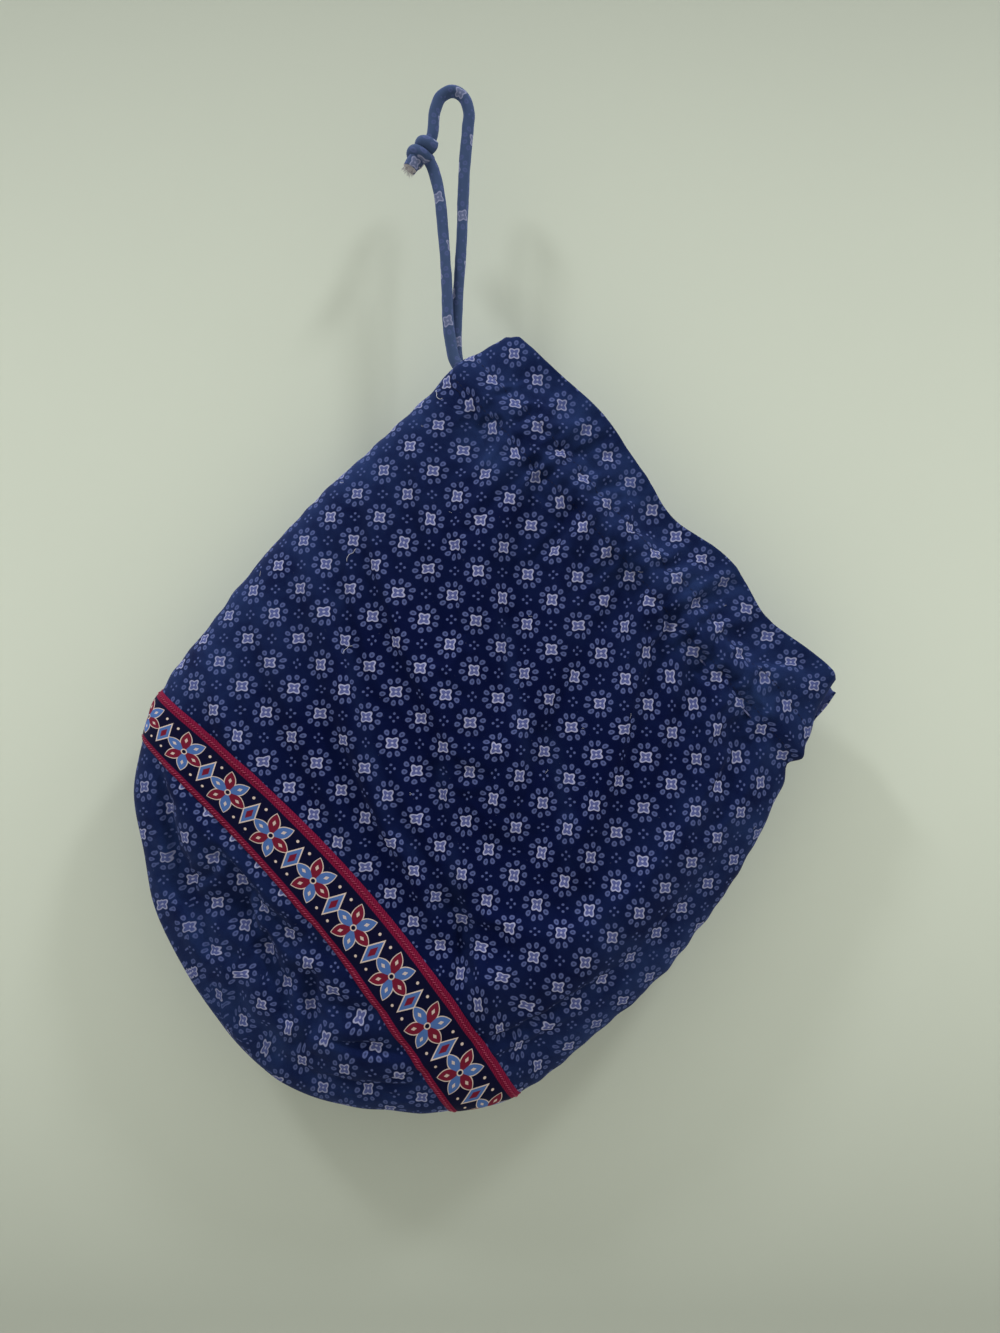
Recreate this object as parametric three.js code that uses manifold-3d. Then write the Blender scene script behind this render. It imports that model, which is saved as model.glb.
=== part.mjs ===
// A round-bottomed drawstring bag of printed cotton, hanging by its tied drawstring.
// Millimetres, +Z up, X to the right and Y away from the viewer.
// The origin is the underside of the cord's bend, where a peg would carry the bag.

import * as THREE from "three";
import { mergeVertices } from "three/addons/utils/BufferGeometryUtils.js";
import Module from "manifold-3d";

const wasm = await Module();
wasm.setup();
const { clamp, degToRad, lerp, smoothstep } = THREE.MathUtils;

// Driving sizes
const HANG_TURN = 48; // degrees that the mouth's line dips to the right
const MOUTH_MIDDLE = new THREE.Vector3(145.3, 0, -270.7); // where the turned bag's mouth is centred
const CLOTH = 1.4; // wall of the cotton with its turnings
const PIECE_GAP = 0.4; // clear space between pieces that are sewn or tied together
const BAND_THICKNESS = 1;
const CASING_DOWN = 42; // the cord's channel below the mouth edge
const CORD_DIAMETER = 6.6;
const CORD_CLEARANCE = 0.6; // between the cord and the channel's walls
const EXIT_HALF_GAP = 8; // half of the open seam that the two strands leave by
const EXIT_HALF_LENGTH = 11; // half of the open seam's length

// Fineness of the faceted walls
const FRONT_STRIPS = 32;
const BACK_STRIPS = 20;
const ROWS_PER_SECTION = 2;
const CASING_ROWS_PER_SECTION = 4;
const EDGE_CROWDING = 0.8; // 0 spreads the columns evenly, 1 crowds them at the seams
const CORD_SIDES = 8;

// The bag's sections from the mouth to the bottom seam, measured from the middle of the mouth.
// left and right are the side seams, leftDown and rightDown their depths below the mouth.
// front and back are the bulges, and rise is how far a row's middle is drawn up by them.
// square is how boxy the section is: 2 is an ellipse.
const SECTIONS = [
  { left: -157, leftDown: 1, right: 157, rightDown: 1, front: 14, back: 12, rise: 0, square: 4 },
  { left: -161, leftDown: 24, right: 162, rightDown: 24, front: 16, back: 15, rise: 0, square: 4.5 },
  { left: -165, leftDown: 42, right: 167.5, rightDown: 42, front: 18.5, back: 18.5, rise: 0, square: 5 },
  { left: -164, leftDown: 62, right: 174.5, rightDown: 62, front: 20, back: 18, rise: 1, square: 3.6 },
  { left: -162.5, leftDown: 104, right: 193, rightDown: 104, front: 26, back: 18, rise: 4, square: 2.8 },
  { left: -162.5, leftDown: 160, right: 209, rightDown: 160, front: 32, back: 19, rise: 8, square: 2.4 },
  { left: -158, leftDown: 215, right: 217, rightDown: 215, front: 36, back: 20, rise: 12.5, square: 2.3 },
  { left: -148.5, leftDown: 270, right: 216, rightDown: 272, front: 37, back: 20, rise: 17, square: 2.3 },
  { left: -138, leftDown: 324, right: 212, rightDown: 326, front: 36, back: 20, rise: 21, square: 2.3 },
  { left: -122, leftDown: 354, right: 191, rightDown: 367, front: 33, back: 19, rise: 16, square: 2.4 },
  { left: -100, leftDown: 382, right: 165, rightDown: 396, front: 28, back: 16, rise: 11, square: 2.5 },
  { left: -67, leftDown: 403, right: 143, rightDown: 415, front: 22, back: 13, rise: 6, square: 2.6 },
  { left: -38, leftDown: 421, right: 124, rightDown: 428, front: 15, back: 9, rise: 2, square: 2.7 },
  { left: 2, leftDown: 433, right: 106, rightDown: 436, front: 9, back: 6, rise: -2, square: 2.8 },
  { left: 32, leftDown: 439, right: 94, rightDown: 440, front: 0, back: 0, rise: -3, square: 2.8 },
];
const MOUTH_ROW = 0;
const CASING_TOP_ROW = 1.25;
const CASING_ROW = 2;
const CASING_BOTTOM_ROW = 2.75;
const BAND_TOP_ROW = 8;
const BAND_BOTTOM_ROW = 9;
const BOTTOM_ROW = SECTIONS.length - 1;
const CASING_SHARE = 0.63; // the channel's inner strips stop this share of the way to the seams

// The mouth edge's waves: how far the frill stands above its straight line.
const MOUTH_WAVES = [
  { across: -157, rise: 0 },
  { across: -140, rise: 1 },
  { across: -77, rise: 5 },
  { across: -30, rise: 0 },
  { across: 1, rise: -4 },
  { across: 48, rise: 3.5 },
  { across: 87, rise: -3 },
  { across: 140, rise: 6 },
  { across: 158, rise: 0 },
];

// Soft folds, each along a line in the bag's own across and down directions.
// A positive depth is a ridge that stands out of the bag and a negative one a valley.
const FRONT_FOLDS = [
  { name: "pull_from_exit", from: [-110, 88], to: [20, 190], width: 20, depth: 3.5 },
  { name: "sag_valley", from: [-40, 112], to: [112, 280], width: 16, depth: -5.5 },
  { name: "soft_ridge", from: [-58, 237], to: [64, 276], width: 13, depth: 3.5 },
  { name: "pleat_crease", from: [92, 268], to: [150, 330], width: 9, depth: -5 },
  { name: "pleat_lip", from: [112, 262], to: [168, 318], width: 11, depth: 4.5 },
  { name: "left_buckle", from: [-136, 286], to: [-88, 345], width: 12, depth: 4 },
  { name: "valley_under_band", from: [-17, 368], to: [76, 380], width: 10, depth: -4.5 },
  { name: "bottom_left_crease", from: [-42, 400], to: [2, 376], width: 10, depth: -4 },
  { name: "left_crease_under_band", from: [-82, 368], to: [-48, 384], width: 10, depth: -4 },
  { name: "right_roll", from: [150, 120], to: [176, 260], width: 22, depth: 4 },
];
const BACK_FOLDS = [
  { name: "back_valley", from: [-60, 110], to: [80, 280], width: 26, depth: -4 },
  { name: "back_bottom_crease", from: [-20, 360], to: [60, 410], width: 16, depth: -4 },
];
const FOLD_FULL_BULGE = 22; // folds fade where the bag is shallower than this

// Gathers that run across the casing, flat on the cord and deepest above and below it.
const GATHERS = [
  { across: -120, width: 13, depth: -2.5 },
  { across: -92, width: 12, depth: 2.5 },
  { across: -62, width: 12, depth: -3 },
  { across: -30, width: 13, depth: 3 },
  { across: 2, width: 12, depth: -4.5 },
  { across: 34, width: 13, depth: 3.5 },
  { across: 60, width: 10, depth: -4.5 },
  { across: 88, width: 12, depth: -3 },
  { across: 116, width: 13, depth: 3.5 },
];
const GATHER_STILL = 6; // no gathers this near the cord, to either side of it
const GATHER_FULL = 20; // and all of them from here on
const GATHER_FADE_FROM = 60; // below the mouth edge, where they start to die away
const GATHER_FADE_TO = 112;

// The drawstring's stretch in the casing, in the bag's across and away directions.
const CASING_RUN = [
  [-150, 7.6],
  [-140, 10.4],
  [-124, 12.4],
  [-100, 13],
  [-50, 13.2],
  [0, 13.2],
  [50, 13.2],
  [100, 13],
  [126, 12.5],
  [145, 11.5],
  [156, 7.9],
  [159.8, 0],
  [156, -7.9],
  [145, -11.5],
  [126, -12.5],
  [100, -13],
  [50, -13.2],
  [0, -13.2],
  [-50, -13.2],
  [-100, -13],
  [-124, -12.4],
  [-140, -10.4],
  [-150, -7.6],
];

// The free strands in the part's own frame, from just inside the open seam to the knot.
// The long one goes up over the peg and down again, the short one straight to the knot.
const LONG_STRAND = [
  [13.4, 7.5, -186.9],
  [7.2, 5, -180],
  [3.7, 4.1, -172.5],
  [2.6, 3.8, -160],
  [2.7, 3.6, -147],
  [3.4, 3.2, -134],
  [4.8, 2.2, -115],
  [6.3, 1.2, -91],
  [7.3, 0.6, -64],
  [8.4, 0.2, -42],
  [10.2, 0, -22],
  [10.9, 0, -10],
  [7.4, 0, -0.6],
  [0, 0, 3.3],
  [-7.4, 0, -0.6],
  [-10.9, 0, -9],
  [-11.9, 0, -17],
  [-12.6, -0.2, -25],
  [-15, -0.5, -31.5],
];
const SHORT_STRAND = [
  [13.4, -7.5, -186.9],
  [6.8, -5, -180],
  [2, -4.1, -173],
  [-0.9, -3.9, -160],
  [-2.5, -3.7, -146],
  [-3.2, -3.3, -125],
  [-4.5, -2.5, -103.5],
  [-5.9, -1.6, -86.5],
  [-7.8, -0.8, -67],
  [-10.4, -0.4, -54],
  [-12.9, -0.5, -46],
  [-15.6, -0.6, -41],
];
const CASING_STEPS = 40;
const LONG_STEPS = 28;
const SHORT_STEPS = 12;

// The knot: the lobes of the two ends wound round each other, and their short tails.
const KNOT_LOBES = [
  { centre: [-18.6, -1, -36], radii: [5, 7.6, 8.4], tilt: 18 },
  { centre: [-23.4, 0.4, -39], radii: [5.4, 7.2, 8.2], tilt: -28 },
];
const KNOT_TAILS = [
  { from: [-23, -3.2, -40], to: [-27.6, -4.4, -48.6] },
  { from: [-24, 3, -37], to: [-29.4, 4.2, -43] },
];
const KNOT_SIDES = 14;
const KNOT_RINGS = 9;
const SOCKET_STEPS = 4; // facets along the sockets that the strands end in
const SOCKET_LENGTH = 10;
const MERGE_WITHIN = 1e-4;

const printedCotton = new THREE.MeshStandardMaterial({ color: 0x1a2456, roughness: 0.8, metalness: 0 });
const borderCotton = new THREE.MeshStandardMaterial({ color: 0x6f2440, roughness: 0.75, metalness: 0 });
const cordCotton = new THREE.MeshStandardMaterial({ color: 0x1f2a5a, roughness: 0.8, metalness: 0 });

// One smooth curve for each column of the section table, so that rows between sections can be read off.
const sectionCurves = Object.keys(SECTIONS[0]).map((column) => {
  const points = SECTIONS.map((section, row) => new THREE.Vector2(row, section[column]));
  return [column, new THREE.SplineCurve(points)];
});

function sectionAt(row) {
  const values = sectionCurves.map(([column, curve]) => [column, curve.getPoint(row / BOTTOM_ROW).y]);
  return Object.fromEntries(values);
}

const waveCurve = new THREE.SplineCurve(MOUTH_WAVES.map((wave) => new THREE.Vector2(wave.across, wave.rise)));

// The frill's rise at a place across the mouth, found between the waves on either side of it.
function mouthRise(across) {
  const last = MOUTH_WAVES.length - 1;
  const held = clamp(across, MOUTH_WAVES[0].across, MOUTH_WAVES[last].across);
  const next = Math.max(1, MOUTH_WAVES.findIndex((wave) => wave.across >= held));
  const before = MOUTH_WAVES[next - 1].across;
  const share = (held - before) / (MOUTH_WAVES[next].across - before);
  return waveCurve.getPoint((next - 1 + share) / last).y;
}

// How far a fold stands out at a place: all of its depth along its line, and falling off round it.
function foldDepth(fold, across, down) {
  const [fromAcross, fromDown] = fold.from;
  const alongAcross = fold.to[0] - fromAcross;
  const alongDown = fold.to[1] - fromDown;
  const dot = (across - fromAcross) * alongAcross + (down - fromDown) * alongDown;
  const share = clamp(dot / (alongAcross ** 2 + alongDown ** 2), 0, 1);
  const away = Math.hypot(across - fromAcross - share * alongAcross, down - fromDown - share * alongDown);
  return fold.depth * Math.exp(-((away / fold.width) ** 2));
}

function gatherDepth(across, down) {
  const offCord = smoothstep(Math.abs(down - CASING_DOWN), GATHER_STILL, GATHER_FULL);
  const farBelow = smoothstep(down, GATHER_FADE_FROM, GATHER_FADE_TO);
  const ripple = (gather) => gather.depth * Math.exp(-(((across - gather.across) / gather.width) ** 2));
  return offCord * (1 - farBelow) * GATHERS.reduce((sum, gather) => sum + ripple(gather), 0);
}

// Everything that moves a panel's skin in or out at a place.
function creaseDepth(side, across, down) {
  const folds = side < 0 ? FRONT_FOLDS : BACK_FOLDS;
  return folds.reduce((sum, fold) => sum + foldDepth(fold, across, down), gatherDepth(across, down));
}

// Half of the gap between the panels at a seam. The left one is open where the cord leaves the casing.
function seamHalfGap(share, down) {
  const closed = PIECE_GAP / 2;
  const fromCord = Math.abs(down - CASING_DOWN);
  const open = share < 0 ? 1 - smoothstep(fromCord, EXIT_HALF_LENGTH / 2, EXIT_HALF_LENGTH) : 0;
  return lerp(closed, EXIT_HALF_GAP, open);
}

// A point of a panel in the bag's own frame: across, away from the viewer, and up to the mouth.
// side is -1 at the front and 1 at the back. share runs across from -1 at the left seam to 1 at the right.
// inset is how far the point lies inside the panel's outer skin.
function skinPoint(side, row, share, inset) {
  const section = sectionAt(row);
  const { left, right, leftDown, rightDown, square } = section;
  const middle = (right + left) / 2;
  const outerHalf = (right - left) / 2;
  const outerBulge = side < 0 ? section.front : section.back;
  const bulge = Math.max(outerBulge - inset, PIECE_GAP);
  const gap = Math.min(seamHalfGap(share, share < 0 ? leftDown : rightDown), bulge / 2);

  const reach = (1 - (gap / bulge) ** square) ** (1 / square);
  const crowded = (EDGE_CROWDING * Math.PI) / 2;
  const place = (reach * Math.sin(share * crowded)) / Math.sin(crowded);
  const skinAcross = middle + outerHalf * place;
  const frill = mouthRise(skinAcross) * (1 - smoothstep(row, MOUTH_ROW, CASING_ROW));
  const level = lerp(leftDown, rightDown, (place + 1) / 2) - section.rise * (1 - place ** 2) - frill;
  const floor = inset * smoothstep(row, BAND_BOTTOM_ROW, BOTTOM_ROW);

  const calm = (1 - place ** 4) * Math.min(1, outerBulge / FOLD_FULL_BULGE);
  const roundness = (1 - Math.abs(place) ** square) ** (1 / square);
  const away = bulge * roundness + calm * creaseDepth(side, skinAcross, level);
  return new THREE.Vector3(middle + (outerHalf - inset) * place, side * away, floor - level);
}

// A closed wall between an outer and an inner copy of the same triangles: both skins, and a strip
// along every edge that only one triangle uses.
function wallGeometry(outer, inner, triangles) {
  const count = outer.length;
  const faces = [];
  const openEdges = new Map();
  for (const [a, b, c] of triangles) {
    faces.push([a, b, c], [count + a, count + c, count + b]);
    for (const [from, to] of [[a, b], [b, c], [c, a]]) {
      const met = openEdges.delete(`${to} ${from}`);
      if (!met) openEdges.set(`${from} ${to}`, [from, to]);
    }
  }
  for (const [from, to] of openEdges.values()) {
    faces.push([from, count + from, to], [to, count + from, count + to]);
  }
  const geometry = new THREE.BufferGeometry().setFromPoints([...outer, ...inner]);
  geometry.setIndex(faces.flat());
  geometry.computeVertexNormals();
  return geometry;
}

function gridTriangles(rowCount, columnCount, side) {
  const triangles = [];
  const add = (a, b, c) => triangles.push(side < 0 ? [a, b, c] : [a, c, b]);
  for (let row = 0; row + 1 < rowCount; row++) {
    for (let column = 0; column + 1 < columnCount; column++) {
      const corner = row * columnCount + column;
      const below = corner + columnCount;
      add(corner, below, corner + 1);
      add(corner + 1, below, below + 1);
    }
  }
  return triangles;
}

const evenSteps = (from, to, count) => Array.from({ length: count + 1 }, (_, i) => lerp(from, to, i / count));

// Rows down the bag, closer together round the casing.
const panelRows = SECTIONS.slice(0, -1).flatMap((_, row) => {
  const nearCasing = row === CASING_ROW || row + 1 === CASING_ROW;
  const count = nearCasing ? CASING_ROWS_PER_SECTION : ROWS_PER_SECTION;
  return evenSteps(row, row + 1, count).slice(0, -1);
});
panelRows.push(BOTTOM_ROW);

const rowsBetween = (from, to) => panelRows.filter((row) => row >= from && row <= to);
const sharesWithin = (strips, limit) => evenSteps(-1, 1, strips).filter((share) => Math.abs(share) <= limit);

// A strip of cloth that follows one side of the bag, with each skin's inset given row by row.
function clothStrip(side, rows, shares, outerInset, innerInset) {
  const skinRow = (row, inset) => shares.map((share) => skinPoint(side, row, share, inset));
  const skin = (insetAt) => rows.flatMap((row) => skinRow(row, insetAt(row)));
  return wallGeometry(skin(outerInset), skin(innerInset), gridTriangles(rows.length, shares.length, side));
}

// The front or back of the bag, one piece of cloth from the mouth edge to the bottom seam.
function panel(side, strips) {
  return clothStrip(side, panelRows, sharesWithin(strips, 1), () => 0, () => CLOTH);
}

// The border sewn round the outside, on the same rows and columns as the panel that carries it.
function borderBand(side, strips) {
  const rows = rowsBetween(BAND_TOP_ROW, BAND_BOTTOM_ROW);
  const faceInset = -PIECE_GAP - BAND_THICKNESS;
  return clothStrip(side, rows, sharesWithin(strips, 1), () => faceInset, () => -PIECE_GAP);
}

// The strip inside the mouth that makes the cord's channel: sewn to the panel along both edges and
// standing off it over the cord.
function casingStrip(side, strips) {
  const channel = CORD_DIAMETER + 2 * CORD_CLEARANCE - PIECE_GAP;
  const halfRows = CASING_BOTTOM_ROW - CASING_ROW;
  const faceInset = (row) => {
    const arch = Math.cos((((row - CASING_ROW) / halfRows) * Math.PI) / 2);
    return CLOTH + PIECE_GAP + channel * Math.sqrt(Math.max(arch, 0));
  };
  const rows = rowsBetween(CASING_TOP_ROW, CASING_BOTTOM_ROW);
  const shares = sharesWithin(strips, CASING_SHARE);
  return clothStrip(side, rows, shares, faceInset, (row) => faceInset(row) + CLOTH);
}

const turnedBag = new THREE.Group();
turnedBag.rotation.y = degToRad(HANG_TURN);
turnedBag.position.copy(MOUTH_MIDDLE);
turnedBag.updateMatrix();

const routeThrough = (points) => new THREE.CatmullRomCurve3(points, false, "centripetal");
const asPoints = (rows) => rows.map((row) => new THREE.Vector3(...row));
const longRoute = routeThrough(asPoints(LONG_STRAND));
const shortRoute = routeThrough(asPoints(SHORT_STRAND));
const inCasing = ([across, away]) => new THREE.Vector3(across, away, -CASING_DOWN);
const casingRoute = routeThrough(CASING_RUN.map((row) => inCasing(row).applyMatrix4(turnedBag.matrix)));

function tube(route, diameter, steps) {
  const ring = Array.from({ length: CORD_SIDES }, (_, i) => {
    const angle = (2 * Math.PI * i) / CORD_SIDES;
    return new THREE.Vector2(Math.cos(angle), Math.sin(angle)).multiplyScalar(diameter / 2);
  });
  return new THREE.ExtrudeGeometry(new THREE.Shape(ring), { steps, extrudePath: route, bevelEnabled: false });
}

function solidOf(geometry) {
  const bare = geometry.clone();
  bare.deleteAttribute("normal");
  bare.deleteAttribute("uv");
  const merged = mergeVertices(bare, MERGE_WITHIN);
  const mesh = { numProp: 3, vertProperties: merged.attributes.position.array, triVerts: merged.index.array };
  return new wasm.Manifold(new wasm.Mesh(mesh));
}

function geometryOf(solid) {
  const mesh = solid.getMesh();
  const geometry = new THREE.BufferGeometry();
  geometry.setAttribute("position", new THREE.BufferAttribute(mesh.vertProperties, 3));
  geometry.setIndex(new THREE.BufferAttribute(mesh.triVerts, 1));
  geometry.computeVertexNormals();
  return geometry;
}

function knotLobe({ centre, radii, tilt }) {
  const lobe = new THREE.SphereGeometry(1, KNOT_SIDES, KNOT_RINGS);
  lobe.scale(...radii);
  lobe.rotateY(degToRad(tilt));
  return lobe.translate(...centre);
}

function knotTail({ from, to }) {
  const line = new THREE.LineCurve3(new THREE.Vector3(...from), new THREE.Vector3(...to));
  const radius = CORD_DIAMETER / 2;
  const stub = new THREE.CylinderGeometry(radius, radius, line.getLength(), KNOT_SIDES);
  const upright = new THREE.Vector3(0, 1, 0);
  stub.applyQuaternion(new THREE.Quaternion().setFromUnitVectors(upright, line.getTangent(0)));
  return stub.translate(...line.getPoint(0.5));
}

// The room that a strand's end takes inside the knot, with its gap, from a little short of the lump
// to just past the strand's end.
function strandSocket(route) {
  const end = route.getPoint(1);
  const before = route.getPointAt(1 - SOCKET_LENGTH / route.getLength());
  const past = end.clone().addScaledVector(route.getTangent(1), PIECE_GAP);
  const middle = route.getPointAt(1 - SOCKET_LENGTH / 2 / route.getLength());
  return tube(routeThrough([before, middle, past]), CORD_DIAMETER + 2 * PIECE_GAP, SOCKET_STEPS);
}

function knotLump() {
  const lumps = [...KNOT_LOBES.map(knotLobe), ...KNOT_TAILS.map(knotTail)].map(solidOf);
  const tied = lumps.reduce((sum, lump) => sum.add(lump));
  const sockets = [longRoute, shortRoute].map((route) => solidOf(strandSocket(route)));
  return geometryOf(sockets.reduce((left, socket) => left.subtract(socket), tied));
}

function piece(name, geometry, material) {
  const mesh = new THREE.Mesh(geometry, material);
  mesh.name = name;
  return mesh;
}

turnedBag.add(
  piece("front_panel", panel(-1, FRONT_STRIPS), printedCotton),
  piece("back_panel", panel(1, BACK_STRIPS), printedCotton),
  piece("border_band_front", borderBand(-1, FRONT_STRIPS), borderCotton),
  piece("border_band_back", borderBand(1, BACK_STRIPS), borderCotton),
  piece("casing_front", casingStrip(-1, FRONT_STRIPS), printedCotton),
  piece("casing_back", casingStrip(1, BACK_STRIPS), printedCotton),
);

const drawstringBag = new THREE.Group();
drawstringBag.add(
  turnedBag,
  piece("drawstring_casing", tube(casingRoute, CORD_DIAMETER, CASING_STEPS), cordCotton),
  piece("drawstring_long", tube(longRoute, CORD_DIAMETER, LONG_STEPS), cordCotton),
  piece("drawstring_short", tube(shortRoute, CORD_DIAMETER, SHORT_STEPS), cordCotton),
  piece("knot", knotLump(), cordCotton),
);

export default drawstringBag;
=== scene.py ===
"""A printed cotton drawstring bag hanging by its cord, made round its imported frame."""

import itertools
import math

import bpy
import numpy as np
from bpy.props import FloatProperty, FloatVectorProperty, IntProperty, PointerProperty
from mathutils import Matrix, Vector


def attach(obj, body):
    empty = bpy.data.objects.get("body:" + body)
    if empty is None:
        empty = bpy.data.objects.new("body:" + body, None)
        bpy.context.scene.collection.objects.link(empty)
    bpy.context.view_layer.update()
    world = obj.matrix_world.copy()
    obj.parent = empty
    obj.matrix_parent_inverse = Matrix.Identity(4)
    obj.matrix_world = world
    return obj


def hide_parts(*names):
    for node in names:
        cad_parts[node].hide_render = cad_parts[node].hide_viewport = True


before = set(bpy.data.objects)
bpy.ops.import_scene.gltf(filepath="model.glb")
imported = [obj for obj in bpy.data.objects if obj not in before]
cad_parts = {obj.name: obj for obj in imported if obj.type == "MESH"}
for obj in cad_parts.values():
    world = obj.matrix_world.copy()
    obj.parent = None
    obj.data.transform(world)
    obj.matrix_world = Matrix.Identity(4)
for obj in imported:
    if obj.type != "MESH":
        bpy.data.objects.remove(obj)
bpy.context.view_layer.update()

bl_info = {
    "name": "Drawstring Bag",
    "version": (1, 0, 0),
    "blender": (4, 5, 0),
    "location": "3D View > Sidebar > Bag",
    "description": "Makes the cloth, border, casing, cord, knot and stitches of a hanging drawstring bag",
    "category": "Object",
}

# Lengths in the tables are in millimetres, as in the part, and MM turns them into metres.
MM = 0.001
FRONT = -1
BACK = 1
SIDE_NAMES = {FRONT: "front", BACK: "back"}

# Where each run of random numbers starts, so that the bag comes out the same each time.
SEEDS = {
    "gather_wander": 11, "gather_strength": 23, "crumple_drift": 31, "crumple_broad": 41,
    "crumple_ridged": 53, "seam_wobble": 71, "puckers": 130, "strands": 60, "knot": 80, "fraying": 17,
    "border_stitches": 90, "casing_stitches": 95, "threads": 7,
}

# How the bag hangs: its mouth's line dips to the right, and the turned mouth is centred here.
HANG_TURN = math.radians(48)
MOUTH_MIDDLE = np.array([145.3, 0.0, -270.7])
CASING_DOWN = 42.0
EXIT_HALF_GAP = 8.0
EXIT_HALF_LENGTH = 11.0
LEAST_BULGE = 0.4
EDGE_CROWDING = 0.8
SEAM_WOBBLE = 1.6
SEAM_WOBBLE_LENGTH = 15.0
# At the right end the cord's bend pushes the seam out, and the cloth is pinched just under it.
RIGHT_SEAM_BUMPS = [(46, 5, 3.5), (57, 5, -3)]
RIGHT_SEAM_SHARES = (0.5, 1)
# The mouth's corners: how far they are pulled, and the part of the cloth that follows.
LEFT_CORNER_IN = 1.5
LEFT_CORNER_DOWN = 3.5
LEFT_CORNER_SHARES = (0.9, 1)
LEFT_CORNER_ROWS = (0.0, 0.4)
FRONT_CORNER_BACK = 7.0
FRONT_CORNER_UP = 4.0
FRONT_CORNER_SHARES = (0.8, 1)
FRONT_CORNER_ROWS = (0.3, 1.6)

# The bag's cross sections from the mouth down to the bottom seam.
SECTION_COLUMNS = ("left", "left_down", "right", "right_down", "front", "back", "rise", "square")
SECTIONS = np.array([
    (-157, 1, 157, 1, 14, 12, 0, 4),
    (-161, 24, 162, 24, 16, 15, 0, 4.5),
    (-165, 42, 167.5, 42, 18.5, 18.5, 0, 5),
    (-164, 62, 174.5, 62, 20, 18, 1, 3.6),
    (-162.5, 104, 193, 104, 26, 18, 4, 2.8),
    (-162.5, 160, 209, 160, 32, 19, 8, 2.4),
    (-158, 215, 217, 215, 36, 20, 12.5, 2.3),
    (-148.5, 270, 216, 272, 37, 20, 17, 2.3),
    (-138, 324, 212, 326, 36, 20, 21, 2.3),
    (-122, 354, 191, 367, 33, 19, 16, 2.4),
    (-100, 382, 165, 396, 28, 16, 11, 2.5),
    (-67, 403, 143, 415, 22, 13, 6, 2.6),
    (-38, 421, 124, 428, 15, 9, 2, 2.7),
    (2, 433, 106, 436, 9, 6, -2, 2.8),
    (32, 439, 94, 440, 0, 0, -3, 2.8),
])
MOUTH_ROW = 0.0
CASING_TOP_ROW = 1.25
CASING_ROW = 2.0
CASING_BOTTOM_ROW = 2.75
BAND_TOP_ROW = 8.0
BAND_BOTTOM_ROW = 9.0
BOTTOM_ROW = float(len(SECTIONS) - 1)

# The wavy mouth edge: places across, and how far the edge rises there.
MOUTH_WAVES = np.array([
    (-157, 0), (-140, 1), (-77, 5), (-30, 0), (1, -4), (48, 3.5), (87, -3), (140, 6), (158, 0),
])

# Folds by the two ends of their line (across, down), their width, and how far they stand out.
FOLDS = {
    FRONT: [
        ((-110, 88), (20, 190), 20, 3.5),
        ((-40, 112), (112, 280), 16, -5.5),
        ((-58, 237), (64, 276), 13, 3.5),
        ((92, 268), (150, 330), 9, -5),
        ((112, 262), (168, 318), 11, 4.5),
        ((-136, 286), (-88, 345), 12, 4),
        ((-17, 368), (76, 380), 10, -4.5),
        ((-42, 400), (2, 376), 10, -4),
        ((-82, 368), (-48, 384), 10, -4),
        ((150, 120), (176, 260), 22, 4),
    ],
    BACK: [
        ((-60, 110), (80, 280), 26, -4),
        ((-20, 360), (60, 410), 16, -4),
    ],
}
FOLD_FULL_BULGE = 22.0

# The main gathers: place across, width and depth.
GATHERS = [
    (-120, 13, -2.5), (-92, 12, 2.5), (-62, 12, -3), (-30, 13, 3), (2, 12, -4.5),
    (34, 13, 3.5), (60, 10, -4.5), (88, 12, -3), (116, 13, 3.5),
]
GATHER_STILL = 6.0
GATHER_FULL = 20.0
GATHER_FADE_FROM = 60.0
GATHER_FADE_TO = 112.0

# The cord's way round inside the casing, across and away, mirrored from the front to the back.
CASING_FRONT_RUN = [
    (-150, 7.6), (-140, 10.4), (-124, 12.4), (-100, 13), (-50, 13.2), (0, 13.2),
    (50, 13.2), (100, 13), (126, 12.5), (145, 11.5), (156, 7.9),
]
CASING_TURN = (159.8, 0.0)

# The free strands in the part's own frame, from just inside the open seam to the knot.
LONG_STRAND = [
    (13.4, 7.5, -186.9), (7.2, 5, -180), (3.7, 4.1, -172.5), (2.6, 3.8, -160), (2.7, 3.6, -147),
    (3.4, 3.2, -134), (4.8, 2.2, -115), (6.3, 1.2, -91), (7.3, 0.6, -64), (8.4, 0.2, -42),
    (10.2, 0, -22), (10.9, 0, -10), (7.4, 0, -0.6), (0, 0, 3.3), (-7.4, 0, -0.6),
    (-10.9, 0, -9), (-11.9, 0, -17), (-12.6, -0.2, -25), (-15, -0.5, -31.5),
]
SHORT_STRAND = [
    (13.4, -7.5, -186.9), (6.8, -5, -180), (2, -4.1, -173), (-0.9, -3.9, -160), (-2.5, -3.7, -146),
    (-3.2, -3.3, -125), (-4.5, -2.5, -103.5), (-5.9, -1.6, -86.5), (-7.8, -0.8, -67),
    (-10.4, -0.4, -54), (-12.9, -0.5, -46), (-15.6, -0.6, -41),
]

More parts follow.
